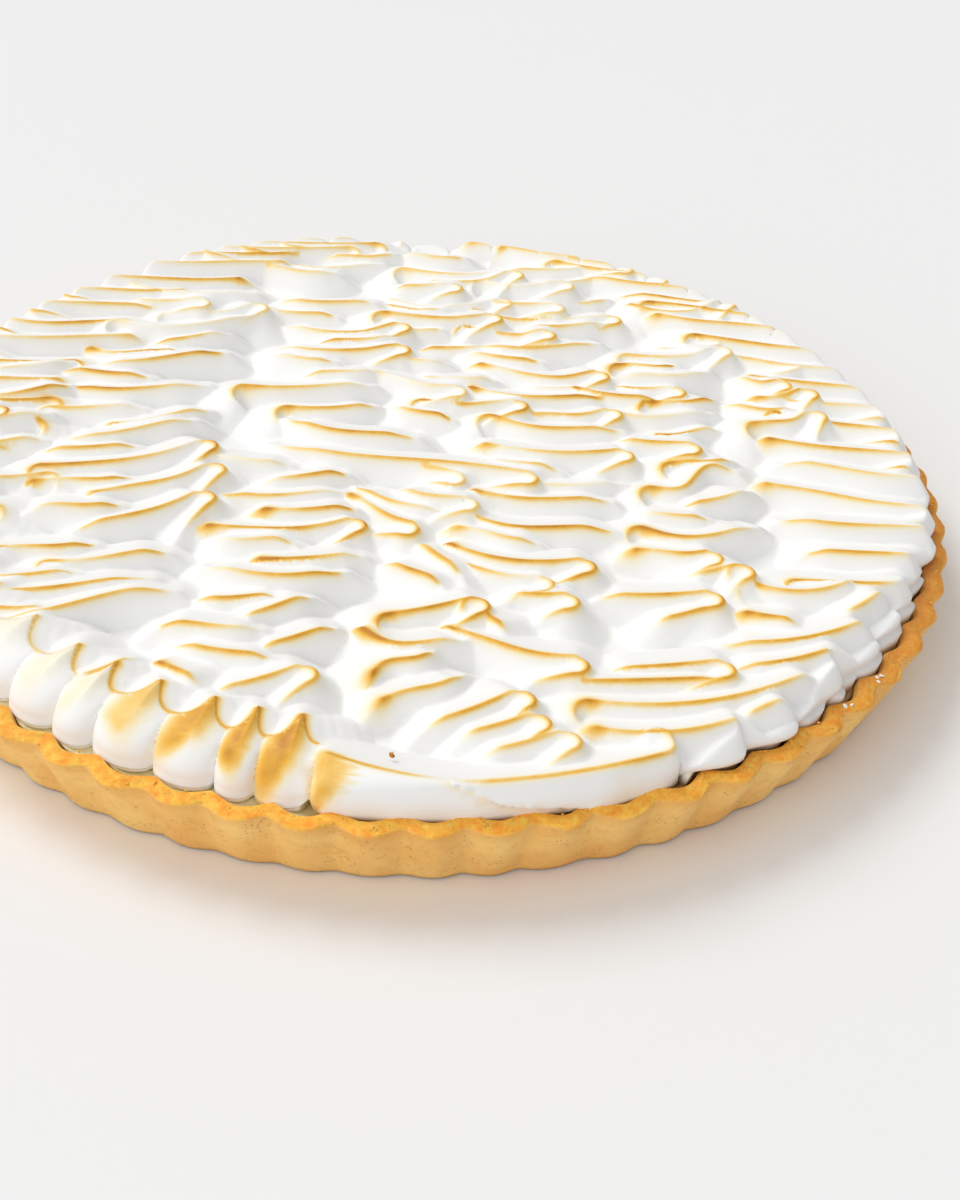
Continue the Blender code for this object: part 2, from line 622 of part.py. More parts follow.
def make_meringue():
    """Piped top over an upright, lobed edge that overhangs the rim, and a flat underside."""
    top = meringue_top(lobe_creases())
    count = 6 * MERINGUE_RINGS
    first_edge = len(top) - count
    edge_points = top[first_edge:]
    angles = np.arctan2(edge_points[:, 1], edge_points[:, 0])
    edge = np.hypot(edge_points[:, 0], edge_points[:, 1])
    edge_top = edge_points[:, 2]
    tucked = np.minimum(edge, TUCKED_RADIUS)
    shelf = np.minimum(edge_top - 0.0003, SHELF_HEIGHT)
    walls = [ring(edge, angles, shelf),
             ring(tucked, angles, np.minimum(shelf - 0.0002, SHELF_HEIGHT - SHELF_DROP)),
             ring(tucked, angles, MERINGUE_BASE)]
    points = np.concatenate([top] + walls + [np.array([[0.0, 0.0, MERINGUE_BASE]])])
    faces = disc_faces(MERINGUE_RINGS)
    level = first_edge
    for k in range(len(walls)):
        lower = len(top) + k * count
        faces += ring_faces(lower, level, count)
        level = lower
    centre = len(points) - 1
    faces += [(centre, level + (i + 1) % count, level + i) for i in range(count)]
    meringue_material = plain_material("toasted_meringue", (0.93, 0.90, 0.85), 0.55)
    meringue = add_object("meringue", points, faces, meringue_material)
    thinned = meringue.modifiers.new("fewer_faces", "DECIMATE")
    thinned.ratio = MERINGUE_TRIANGLES / sum(len(face) - 2 for face in faces)
    return meringue


for old in list(bpy.data.objects):
    bpy.data.objects.remove(old, do_unlink=True)

make_crust()
make_filling()
make_meringue()
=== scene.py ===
import math
import random

import bpy
import numpy as np
from mathutils import Matrix, Vector


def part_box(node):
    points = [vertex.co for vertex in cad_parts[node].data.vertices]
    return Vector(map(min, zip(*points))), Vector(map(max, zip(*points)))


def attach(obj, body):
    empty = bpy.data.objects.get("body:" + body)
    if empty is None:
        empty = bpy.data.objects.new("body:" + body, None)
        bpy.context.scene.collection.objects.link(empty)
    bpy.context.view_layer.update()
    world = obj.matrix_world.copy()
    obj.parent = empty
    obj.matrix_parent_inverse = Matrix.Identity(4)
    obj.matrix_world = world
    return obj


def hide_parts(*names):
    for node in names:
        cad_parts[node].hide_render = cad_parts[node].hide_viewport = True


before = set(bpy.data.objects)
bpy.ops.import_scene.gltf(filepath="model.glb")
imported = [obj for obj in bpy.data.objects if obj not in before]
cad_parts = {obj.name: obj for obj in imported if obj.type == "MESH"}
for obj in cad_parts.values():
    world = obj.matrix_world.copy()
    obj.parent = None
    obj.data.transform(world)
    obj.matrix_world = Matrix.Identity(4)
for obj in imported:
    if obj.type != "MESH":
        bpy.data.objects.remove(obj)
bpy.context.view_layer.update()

# Camera and light. The tart is seen from about 35 degrees above its front, close enough that
# its left side runs out of the picture, in soft bright daylight from the left and behind.
rim_radius = 0.1400
photo_height = 1200.0
focal_pixels = 1710.7
view_elevation = math.radians(35.418)
view_roll = math.radians(3.596)
view_distance = 3.1487 * rim_radius
view_target = Vector((0.1466 * rim_radius, -0.2188 * rim_radius, 0.0))


def add_object(name, data):
    """An object that puts a camera, a light or a mesh into the scene."""
    made = bpy.data.objects.new(name, data)
    bpy.context.scene.collection.objects.link(made)
    return made


def place_camera():
    """A camera whose long side is the picture's height, rolled a little as the photo is."""
    back = Vector((0.0, -math.cos(view_elevation), math.sin(view_elevation)))
    level_right = Vector((1.0, 0.0, 0.0))
    level_up = Vector((0.0, math.sin(view_elevation), math.cos(view_elevation)))
    right = math.cos(view_roll) * level_right + math.sin(view_roll) * level_up
    up = math.cos(view_roll) * level_up - math.sin(view_roll) * level_right
    data = bpy.data.cameras.new("photo_camera")
    data.sensor_width = 36.0
    data.lens = focal_pixels / photo_height * data.sensor_width
    data.clip_start = 0.01
    camera = add_object("photo_camera", data)
    camera.matrix_world = Matrix.Translation(view_target + back * view_distance) @ Matrix(
        (right, up, back)).transposed().to_4x4()
    bpy.context.scene.camera = camera


def place_daylight(name, toward, spread, strength, colour):
    """Even light from one side of the sky, given the direction it comes from."""
    data = bpy.data.lights.new(name, "SUN")
    data.angle = math.radians(spread)
    data.energy = strength
    data.color = colour
    add_object(name, data).rotation_euler = Vector(toward).to_track_quat("Z", "Y").to_euler()


def light_room(strength):
    """Even white room light."""
    world = bpy.data.worlds.new("white_room")
    world.use_nodes = True
    background = world.node_tree.nodes["Background"]
    background.inputs["Color"].default_value = (1.0, 1.0, 1.0, 1.0)
    background.inputs["Strength"].default_value = strength
    bpy.context.scene.world = world


place_camera()
place_daylight("window", (-0.50, 0.42, 0.76), 32.0, 1.36, (1.0, 0.99, 0.97))
place_daylight("front_fill", (-0.50, -0.66, 0.60), 60.0, 0.94, (1.0, 1.0, 1.0))
light_room(0.52)
bpy.context.scene.view_settings.view_transform = "Standard"
bpy.context.scene.view_settings.look = "None"


# Floor: a wide, pale, matt surface just under the tart, which stands on it.
floor_half_width = 3.0
floor_gap = 0.00005


def add_mesh(name, points, faces):
    """A piece made of points and faces, smooth all over."""
    mesh = bpy.data.meshes.new(name)
    mesh.from_pydata(points, [], faces)
    mesh.shade_smooth()
    return add_object(name, mesh)


def start_material(name, roughness, gloss):
    """A material of a given roughness and gloss, still without its colour."""
    material = bpy.data.materials.new(name)
    material.use_nodes = True
    surface = material.node_tree.nodes["Principled BSDF"].inputs
    surface["Roughness"].default_value = roughness
    surface["Specular IOR Level"].default_value = gloss
    return material


def plain_material(name, colour, roughness, gloss):
    """A material of one colour."""
    material = start_material(name, roughness, gloss)
    surface = material.node_tree.nodes["Principled BSDF"].inputs
    surface["Base Color"].default_value = (*colour, 1.0)
    return material


floor_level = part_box("crust")[0][2] - floor_gap
floor = add_mesh("floor", [(x * floor_half_width, y * floor_half_width, floor_level)
                           for x, y in ((-1, -1), (1, -1), (1, 1), (-1, 1))], [(0, 1, 2, 3)])
floor.data.materials.append(plain_material("pale_floor", (0.858, 0.860, 0.862), 0.6, 0.25))


# Crust: shortcrust pastry pressed into a fluted tin, trimmed level and baked, about 5 mm
# thick. It is turned as a plain shell first; the node tree then presses the flutes into it
# and roughens the cut rim.
shell_height = 0.0192
base_radius = 0.1327
rim_width = 0.0046
floor_thickness = 0.0040
flute_count = 64
flute_depth = 0.0030
flute_turn = math.radians(-2.5)
flute_power = 1.3
flute_middle = 0.6
foot_round = 0.0011
rim_round = 0.0007
inner_round = 0.8 * rim_round
rim_crown = 0.0003
shell_columns = flute_count * 14


def smooth_step(value):
    """0 below 0, 1 above 1, and a smooth ramp between."""
    t = np.clip(value, 0.0, 1.0)
    return t * t * (3.0 - 2.0 * t)


def wall_radius(share):
    """Outside of the wall, without its flutes, at a share of its height."""
    return base_radius + (rim_radius - base_radius) * share ** 0.9


def press_depth(share):
    """How deep the flutes are pressed outside, at a share of the wall's height."""
    return flute_depth * (0.40 + 0.60 * share)


def inside_depth(share):
    """How deep they still show inside."""
    return flute_depth * (0.25 + 0.65 * share)


def pressing(angle):
    """Flutes are shallower at the right, where the pastry slid a little in its tin."""
    away = np.abs(np.mod(angle - math.radians(12.0) + math.pi, 2.0 * math.pi) - math.pi)
    return 0.50 + 0.50 * smooth_step((away - math.radians(18.0)) / math.radians(35.0))


def inside_radius(angle, share):
    """Inside of the baked wall at a share of its height, where curd and meringue lie against it."""
    wave = np.abs(np.sin(0.5 * flute_count * (angle - flute_turn))) ** flute_power - flute_middle
    return wall_radius(share) - rim_width + inside_depth(share) * pressing(angle) * wave


def shell_outline():
    """Half section of the shell from under its middle round to the middle of its floor.

    Each row is radius, height, how deep the flutes press there, and how much it is cut rim.
    """
    rows = [(0.002, 0.0, 0.0, 0.0)]
    rows += [(r, 0.0, press_depth(0.0) * (r / base_radius) ** 12, 0.0)
             for r in np.linspace(0.02, wall_radius(0.0) - foot_round, 14)]
    for turn in np.linspace(0.15, 1.0, 4) * math.pi / 2.0:
        rows.append((wall_radius(0.03) - foot_round * (1.0 - math.sin(turn)),
                     foot_round * (1.0 - math.cos(turn)), press_depth(0.0), 0.0))
    for share in np.linspace(0.09, 0.93, 26):
        rows.append((wall_radius(share), share * shell_height, press_depth(share), 0.0))
    for turn in np.linspace(0.1, 1.0, 5) * math.pi / 2.0:
        rows.append((rim_radius - rim_round * (1.0 - math.cos(turn)),
                     shell_height - rim_round * (1.0 - math.sin(turn)), flute_depth,
                     math.sin(turn) ** 2))
    for across in np.linspace(0.12, 0.88, 7):
        rows.append((rim_radius - rim_round - across * (rim_width - rim_round - inner_round),
                     shell_height + rim_crown * math.sin(math.pi * across),
                     flute_depth * (1.0 - 0.1 * across), 1.0))
    for turn in np.linspace(0.0, 0.9, 5) * math.pi / 2.0:
        rows.append((rim_radius - rim_width + inner_round * (1.0 - math.sin(turn)),
                     shell_height - inner_round * (1.0 - math.cos(turn)),
                     inside_depth(1.0), 1.0 - 0.3 * turn))
    for share in np.linspace(0.92, floor_thickness / shell_height + 0.05, 14):
        rows.append((wall_radius(share) - rim_width, share * shell_height, inside_depth(share), 0.0))
    rows += [(r, floor_thickness, flute_depth * 0.3 * (r / base_radius) ** 12, 0.0)
             for r in np.linspace(wall_radius(0.2) - rim_width - 0.0012, 0.002, 8)]
    return rows


def around(radius, angle, height):
    """Points from their radius, angle and height."""
    return np.column_stack(np.broadcast_arrays(
        radius * np.cos(angle), radius * np.sin(angle), height))


def set_attribute(piece, name, values):
    """One number at each point of a piece, which its node tree or material reads by name."""
    layer = piece.data.attributes.new(name, "FLOAT", "POINT")
    layer.data.foreach_set("value", np.array(values, np.float32))


def turn_shell(name, rows, columns):
    """Closed mesh from turning the half section, with its columns of numbers as attributes."""
    radius, height, press, cut = np.repeat(rows, columns, axis=0).T
    angles = np.tile(np.arange(columns) * 2.0 * math.pi / columns, len(rows))
    last = (len(rows) - 1) * columns
    i = np.arange(columns)
    j = (i + 1) % columns
    faces = [np.column_stack([k + i, k + j, k + columns + j, k + columns + i])
             for k in range(0, last, columns)]
    caps = [i[::-1].tolist(), (last + i).tolist()]
    shell = add_mesh(name, around(radius, angles, height).tolist(),
                     np.concatenate(faces).tolist() + caps)
    set_attribute(shell, "press", press * pressing(angles))
    set_attribute(shell, "cut_rim", cut)
    return shell


def node(tree, kind, **settings):
    """A node with its properties set and its inputs filled from the dictionary 'inputs'."""
    made = tree.nodes.new(kind)
    inputs = settings.pop("inputs", {})
    for key, value in settings.items():
        setattr(made, key, value)
    for key, value in inputs.items():
        if isinstance(value, bpy.types.NodeSocket):
            tree.links.new(value, made.inputs[key])
        else:
            made.inputs[key].default_value = value
    return made


def calculate(tree, operation, *values, clamp=False):
    """Result of a Math node, given sockets or numbers."""
    return node(tree, "ShaderNodeMath", operation=operation, use_clamp=clamp,
                inputs=dict(enumerate(values))).outputs[0]


def steer(tree, operation, *vectors, **sizes):
    """Result of a Vector Math node, given vectors and named sizes."""
    return node(tree, "ShaderNodeVectorMath", operation=operation,
                inputs={**dict(enumerate(vectors)), **sizes}).outputs[0]


def noise(tree, place, scale, detail, roughness=0.5):
    """Cloudy noise from 0 to 1."""
    return node(tree, "ShaderNodeTexNoise", inputs={
        "Vector": place, "Scale": scale, "Detail": detail, "Roughness": roughness}).outputs[0]


def start_tree(name, sizes, seeds=()):
    """A node tree whose inputs are a mesh, named sizes, seeds and a material."""
    tree = bpy.data.node_groups.new(name, "GeometryNodeTree")
    sockets = [("Geometry", "Geometry"), *((label, "Float") for label in sizes),
               *((label, "Int") for label in seeds), ("Material", "Material")]
    for label, kind in sockets:
        tree.interface.new_socket(label, in_out="INPUT", socket_type="NodeSocket" + kind)
    tree.interface.new_socket("Geometry", in_out="OUTPUT", socket_type="NodeSocketGeometry")
    return tree, tree.nodes.new("NodeGroupInput").outputs


def end_tree(tree, mesh, material):
    """Makes the tree's result plain mesh with its material, and hands it out."""
    real = node(tree, "GeometryNodeRealizeInstances", inputs={0: mesh}).outputs[0]
    dressed = node(tree, "GeometryNodeSetMaterial", inputs={
        "Geometry": real, "Material": material}).outputs[0]
    tree.links.new(dressed, tree.nodes.new("NodeGroupOutput").inputs[0])
    return tree


def fluting_tree():
    """Node tree that presses flutes into a turned shell and leaves its cut rim uneven."""
    tree, given = start_tree("press_flutes", ("Flutes", "Turn", "Sway", "Rim wave", "Crag"))
    place = node(tree, "GeometryNodeInputPosition").outputs[0]
    parts = node(tree, "ShaderNodeSeparateXYZ", inputs={0: place}).outputs
    angle = calculate(tree, "ARCTAN2", parts["Y"], parts["X"])
    outward = steer(tree, "NORMALIZE", steer(tree, "MULTIPLY", place, (1.0, 1.0, 0.0)))
    press, rim = (node(tree, "GeometryNodeInputNamedAttribute", data_type="FLOAT",
                       inputs={"Name": name}).outputs["Attribute"] for name in ("press", "cut_rim"))

    def unevenness(scale, detail, strength):
        """Noise round zero at a place on the shell."""
        centred = calculate(tree, "SUBTRACT", noise(tree, place, scale, detail), 0.5)
        return calculate(tree, "MULTIPLY", centred, strength)

    swayed = calculate(tree, "ADD", calculate(tree, "SUBTRACT", angle, given["Turn"]),
                       unevenness(38.0, 1.0, given["Sway"]))
    phase = calculate(tree, "MULTIPLY", swayed, calculate(tree, "MULTIPLY", given["Flutes"], 0.5))
    wave = calculate(tree, "POWER", calculate(
        tree, "ABSOLUTE", calculate(tree, "SINE", phase)), flute_power)
    depth = calculate(tree, "MULTIPLY", press, calculate(
        tree, "ADD", unevenness(55.0, 0.0, 0.9), 1.0))
    push = calculate(tree, "MULTIPLY", depth, calculate(tree, "SUBTRACT", wave, flute_middle))
    rough = calculate(tree, "MULTIPLY", unevenness(900.0, 3.0, given["Crag"]), rim)
    on_wall = calculate(tree, "MINIMUM", calculate(tree, "MULTIPLY", press, 1500.0), 1.0)
    fine = calculate(tree, "MULTIPLY", unevenness(420.0, 4.0, 0.00022), on_wall)
    push = calculate(tree, "ADD", push, calculate(tree, "MULTIPLY_ADD", rough, 0.8, fine))
    rise = calculate(tree, "MULTIPLY_ADD", rim, unevenness(70.0, 1.0, given["Rim wave"]), rough)
    upward = node(tree, "ShaderNodeCombineXYZ", inputs={"Z": rise}).outputs[0]
    moved = node(tree, "GeometryNodeSetPosition", inputs={
        "Geometry": given["Geometry"],
        "Offset": steer(tree, "ADD", steer(tree, "SCALE", outward, Scale=push), upward)}).outputs[0]
    return end_tree(tree, moved, given["Material"])


def apply_modifier(piece, modifier):
    """Leaves what a modifier makes of a piece as plain smooth mesh, and removes the modifier."""
    graph = bpy.context.evaluated_depsgraph_get()
    result = bpy.data.meshes.new_from_object(piece.evaluated_get(graph))
    piece.modifiers.remove(modifier)
    piece.data = result
    result.shade_smooth()


def shape_by_nodes(piece, tree, values):
    """Runs a node tree on a piece with named values."""
    modifier = piece.modifiers.new(tree.name, "NODES")
    modifier.node_group = tree
    for item in tree.interface.items_tree:
        if item.in_out == "INPUT" and item.name in values:
            modifier[item.identifier] = values[item.name]
    apply_modifier(piece, modifier)


def read_attribute(tree, name):
    """The number of that name at each point of the piece."""
    return node(tree, "ShaderNodeAttribute", attribute_name=name).outputs["Fac"]


def between(tree, value, low, high):
    """0 where the value is low, 1 where it is high."""
    return calculate(tree, "MULTIPLY_ADD", value, 1.0 / (high - low), -low / (high - low),
                     clamp=True)


def blend(tree, share, first, second):
    """A mix of two colours, all of the second where the share is 1."""
    return node(tree, "ShaderNodeMix", data_type="RGBA", inputs={
        0: share, 6: first, 7: second}).outputs[2]


def colour_ramp(tree, value, stops):
    """A colour that runs through rising stops of a value."""
    ramp = node(tree, "ShaderNodeValToRGB", inputs={0: value})
    elements = ramp.color_ramp.elements
    elements[0].position, elements[1].position = stops[0][0], stops[-1][0]
    for position, _ in stops[1:-1]:
        elements.new(position)
    for element, (_, colour) in zip(elements, stops):
        element.color = (*colour, 1.0)
    return ramp.outputs[0]


def dress(material, colour, relief, strength, depth):
    """Gives a material its worked-out colour and its finest relief."""
    tree = material.node_tree
    surface = tree.nodes["Principled BSDF"].inputs
    bump = node(tree, "ShaderNodeBump", inputs={
        "Height": relief, "Strength": strength, "Distance": depth}).outputs[0]
    tree.links.new(colour, surface["Base Color"])
    tree.links.new(bump, surface["Normal"])
    return material


def pastry_material():
    """Baked shortcrust: golden wall with pores and specks, darker orange where it is cut, browner on
    the rim at the right and along its inner edge, partly from baking and partly as painted shade, and
    a painted shadow along its foot.
    """
    pastry = start_material("pastry_bake", 0.62, 0.35)
    tree = pastry.node_tree
    place = node(tree, "ShaderNodeTexCoord").outputs["Object"]
    position = node(tree, "ShaderNodeSeparateXYZ", inputs={0: place}).outputs
    reach = node(tree, "ShaderNodeVectorMath", operation="LENGTH",
                 inputs={0: place}).outputs["Value"]
    wall = colour_ramp(tree, noise(tree, place, 60.0, 4.0), (
        (0.30, (0.90, 0.47, 0.115)), (0.70, (1.0, 0.66, 0.215))))
    cut = colour_ramp(tree, noise(tree, place, 420.0, 5.0, 0.7), (
        (0.34, (0.98, 0.34, 0.022)), (0.66, (1.0, 0.62, 0.085))))
    # The rim turns darker brown towards the right and most along its inner edge: partly browner
    # baking, partly painted shade on the side away from the light and beside the meringue.
    inner_edge_browning_and_shade = calculate(
        tree, "MULTIPLY_ADD", between(tree, reach, 0.1396, 0.1370), 0.32, 0.68)
    right_side_browning_and_shade = calculate(
        tree, "MULTIPLY", between(tree, position["X"], 0.060, 0.140), inner_edge_browning_and_shade)
    rim_tint = blend(tree, right_side_browning_and_shade, cut, (0.50, 0.155, 0.02, 1.0))
    scorch = calculate(tree, "MULTIPLY", between(tree, position["Z"], 0.0148, 0.0198), 0.55)
    scorched = blend(tree, scorch, wall, (0.78, 0.36, 0.06, 1.0))
    tint = blend(tree, read_attribute(tree, "cut_rim"), scorched, rim_tint)
    blotch = between(tree, noise(tree, place, 330.0, 6.0, 0.75), 0.5118, 1.1)
    mottled = blend(tree, blotch, tint, (0.50, 0.22, 0.045, 1.0))
    cells = node(tree, "ShaderNodeTexVoronoi", inputs={
        "Vector": place, "Scale": 1000.0}).outputs["Distance"]
    pore = calculate(tree, "MULTIPLY", between(tree, cells, 0.3167, 0.15),
                     between(tree, noise(tree, place, 210.0, 2.0), 0.55, 0.6333))
    specked = blend(tree, calculate(tree, "MULTIPLY", pore, 0.60), mottled,
                    (0.42, 0.17, 0.04, 1.0))
    # Painted shadow: the pastry's lowest millimetre is darkened to a deep brown where it stands on the
    # floor.
    foot = calculate(tree, "MULTIPLY", between(tree, position["Z"], 0.0011, 0.0001), 0.8)
    foot_shadowed = blend(tree, foot, specked, (0.20, 0.085, 0.02, 1.0))
    relief = calculate(tree, "SUBTRACT", noise(tree, place, 1500.0, 4.0),
                       calculate(tree, "MULTIPLY", pore, 0.8))
    return dress(pastry, foot_shadowed, relief, 0.5, 0.0005)


crust = turn_shell("crust_shell", shell_outline(), shell_columns)
shape_by_nodes(crust, fluting_tree(), {
    "Flutes": float(flute_count), "Turn": flute_turn, "Sway": 0.030, "Rim wave": 0.0014,
    "Crag": 0.0013, "Material": pastry_material()})
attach(crust, "root")
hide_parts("crust")


# Filling: lemon curd poured in and set, level with the shell's inside just under the rim. It
# is moist, pale yellow and a little see-through, and creeps up the pastry at its edge.
filling_top = 0.0165
piece_gap = 0.0003
filling_rings = 60
filling_columns = flute_count * 8


def make_filling():
    """Level disc with a faint swell, a raised lip at the pastry and a plain underside."""
    angles = np.arange(filling_columns) * 2.0 * math.pi / filling_columns
    edge = inside_radius(angles, filling_top / shell_height) - piece_gap
    rings = [[(0.0, 0.0, filling_top)]]
    for n in range(1, filling_rings + 1):
        r = edge * (n / filling_rings) ** 0.6
        x, y = r * np.cos(angles), r * np.sin(angles)
        swell = 0.00018 * (np.sin(190.0 * x + 1.0) * np.cos(160.0 * y) + np.sin(97.0 * (x + y)))
        lip = 0.0007 * np.exp(-(edge - r) / 0.0009)
        rings.append(around(r, angles, filling_top + swell + lip))
    underside = floor_thickness + piece_gap
    low_edge = wall_radius(floor_thickness / shell_height) - rim_width - 0.0018
    rings += [around(low_edge, angles, underside), [(0.0, 0.0, underside)]]
    points = np.concatenate(rings)
    last = len(points) - 1 - filling_columns
    i = np.arange(filling_columns)
    j = (i + 1) % filling_columns
    faces = np.column_stack([0 * i, 1 + i, 1 + j]).tolist()
    faces += np.column_stack([0 * i + len(points) - 1, last + j, last + i]).tolist()
    for k in range(1, last, filling_columns):
        faces += np.column_stack([k + i, k + filling_columns + i,
                                  k + filling_columns + j, k + j]).tolist()
    curd = add_mesh("curd", points.tolist(), faces)
    # Painted shade, partly real browning: all of the curd but the front left, where it shows lit, is
    # darkened towards dark brown, as elsewhere it shows only in the shaded gaps under the meringue.
    from_pale = np.abs(np.degrees(np.arctan2(points[:, 1], points[:, 0])) + 118.0)
    set_attribute(curd, "caramel_and_shade", smooth_step((from_pale - 24.0) / 6.0))
    return curd


def curd_material():
    """Pale lemon curd, moist, and dark brown all round but the front left: partly its own browning at
    the crust, partly painted shade in the gaps under the meringue.
    """
    moist = start_material("curd_moist", 0.22, 0.5)
    tree = moist.node_tree
    place = node(tree, "ShaderNodeTexCoord").outputs["Object"]
    pale = colour_ramp(tree, noise(tree, place, 130.0, 3.0), (
        (0.35, (0.66, 0.52, 0.19)), (0.65, (0.90, 0.80, 0.50))))
    caramel_and_shade = calculate(tree, "MULTIPLY", read_attribute(tree, "caramel_and_shade"), 0.85)
    browned_and_shaded = blend(tree, caramel_and_shade, pale, (0.22, 0.085, 0.015, 1.0))
    return dress(moist, browned_and_shaded, noise(tree, place, 420.0, 3.0), 0.25, 0.0006)


curd = make_filling()
curd.data.materials.append(curd_material())
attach(curd, "root")
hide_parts("lemon_filling")


# Meringue: whipped egg white and sugar piped through a slotted nozzle in columns of leaning
# pleats that turn back at their ends, then torched so that the thin crests go golden. Its
# edge stands in rounded lobes, with one long ribbon laid along the front.
meringue_base = filling_top + piece_gap
meringue_radius = 0.1370
ribbon_radius = 0.1354
droop_radius = 0.1338
crest_height = 0.0284
highest_crest = 0.0293
valley_height = 0.0202
pleat_pitch = 0.0080
front_slope = 2.3
back_slope = 0.38
lip_rise = 0.0004
lip_width = 0.0008
back_reach = 0.009
back_curve = 60.0
toast_back = 1.2
nozzle_pitch = 0.0027
nozzle_mark = 0.00013
side_slope = 0.85
end_drop = 0.0020
end_rise = 0.0014
finger_radius = 0.0032
line_spread = 0.0007
bulb_spread = 0.0008
wall_slope = 1.5
wall_rise = 0.0022
ribbon_slope = 4.3
ribbon_rise = 0.0040
ribbon_face = 0.0246
ribbon_lean = 0.0083
lean_share = 0.45
edge_height = 0.0238
edge_reach = 0.012
edge_inset = 0.0030
tip_reach = 0.0036
lobe_depth = 0.0026
crease_reach = 0.0060
tuck_gap = 0.0005
foot_spread = 0.0012
ribbon_foot = 0.0075
ribbon_sink = 0.0020
shelf_height = 0.0204
shelf_drop = 0.0004
face_foot = 0.0010
droop_reach = 0.830 * rim_radius
droop_scallop = 0.045 * rim_radius
lobe_rise = 0.0006
lobe_dip = 0.0022
fold_bulge = 0.0011
cusp_share = 0.58
corner_share = 0.78
field_step = 0.00035
line_spacing = 0.0004
meringue_rings = 370
wall_levels = 12
meringue_triangles = 190000

# Creases between the lobes of the edge that can be told apart, in degrees, with the long
# ribbon in the widest gap; the rest of the way round they are drawn at random.
crease_degrees = (-127.6, -121.6, -116.9, -110.3, -104.1, -100.3, -95.0, -61.3, -54.3,
                  -47.7, -39.0, -31.2, -25.2, -20.9, -15.9)
ribbon_start = math.radians(-95.0)
ribbon_end = math.radians(-61.3)

# Columns of pleats: left and right side, front and back end as shares of the rim's radius,
# and the tilt of the pleats in degrees at the front, in the middle and at the back.
pleat_columns = (
    (-0.97, -0.70, -0.55, 0.62, (16.0, 10.0, 0.0)),
    (-0.68, -0.38, -0.72, 0.78, (16.0, 16.0, -8.0)),
    (-0.35, -0.08, -0.80, 0.90, (10.0, 4.0, -6.0)),
    (-0.07, 0.12, -0.86, -0.06, (26.0, -20.0, -30.0)),
    (-0.10, 0.16, 0.10, 0.94, (-6.0, 0.0, 6.0)),
    (0.10, 0.38, -0.56, 0.90, (-4.0, -6.0, 8.0)),
    (0.40, 0.62, -0.34, 0.80, (4.0, 7.0, -2.0)),
    (0.62, 0.78, 0.12, 0.60, (0.0, 6.0, 4.0)),
)

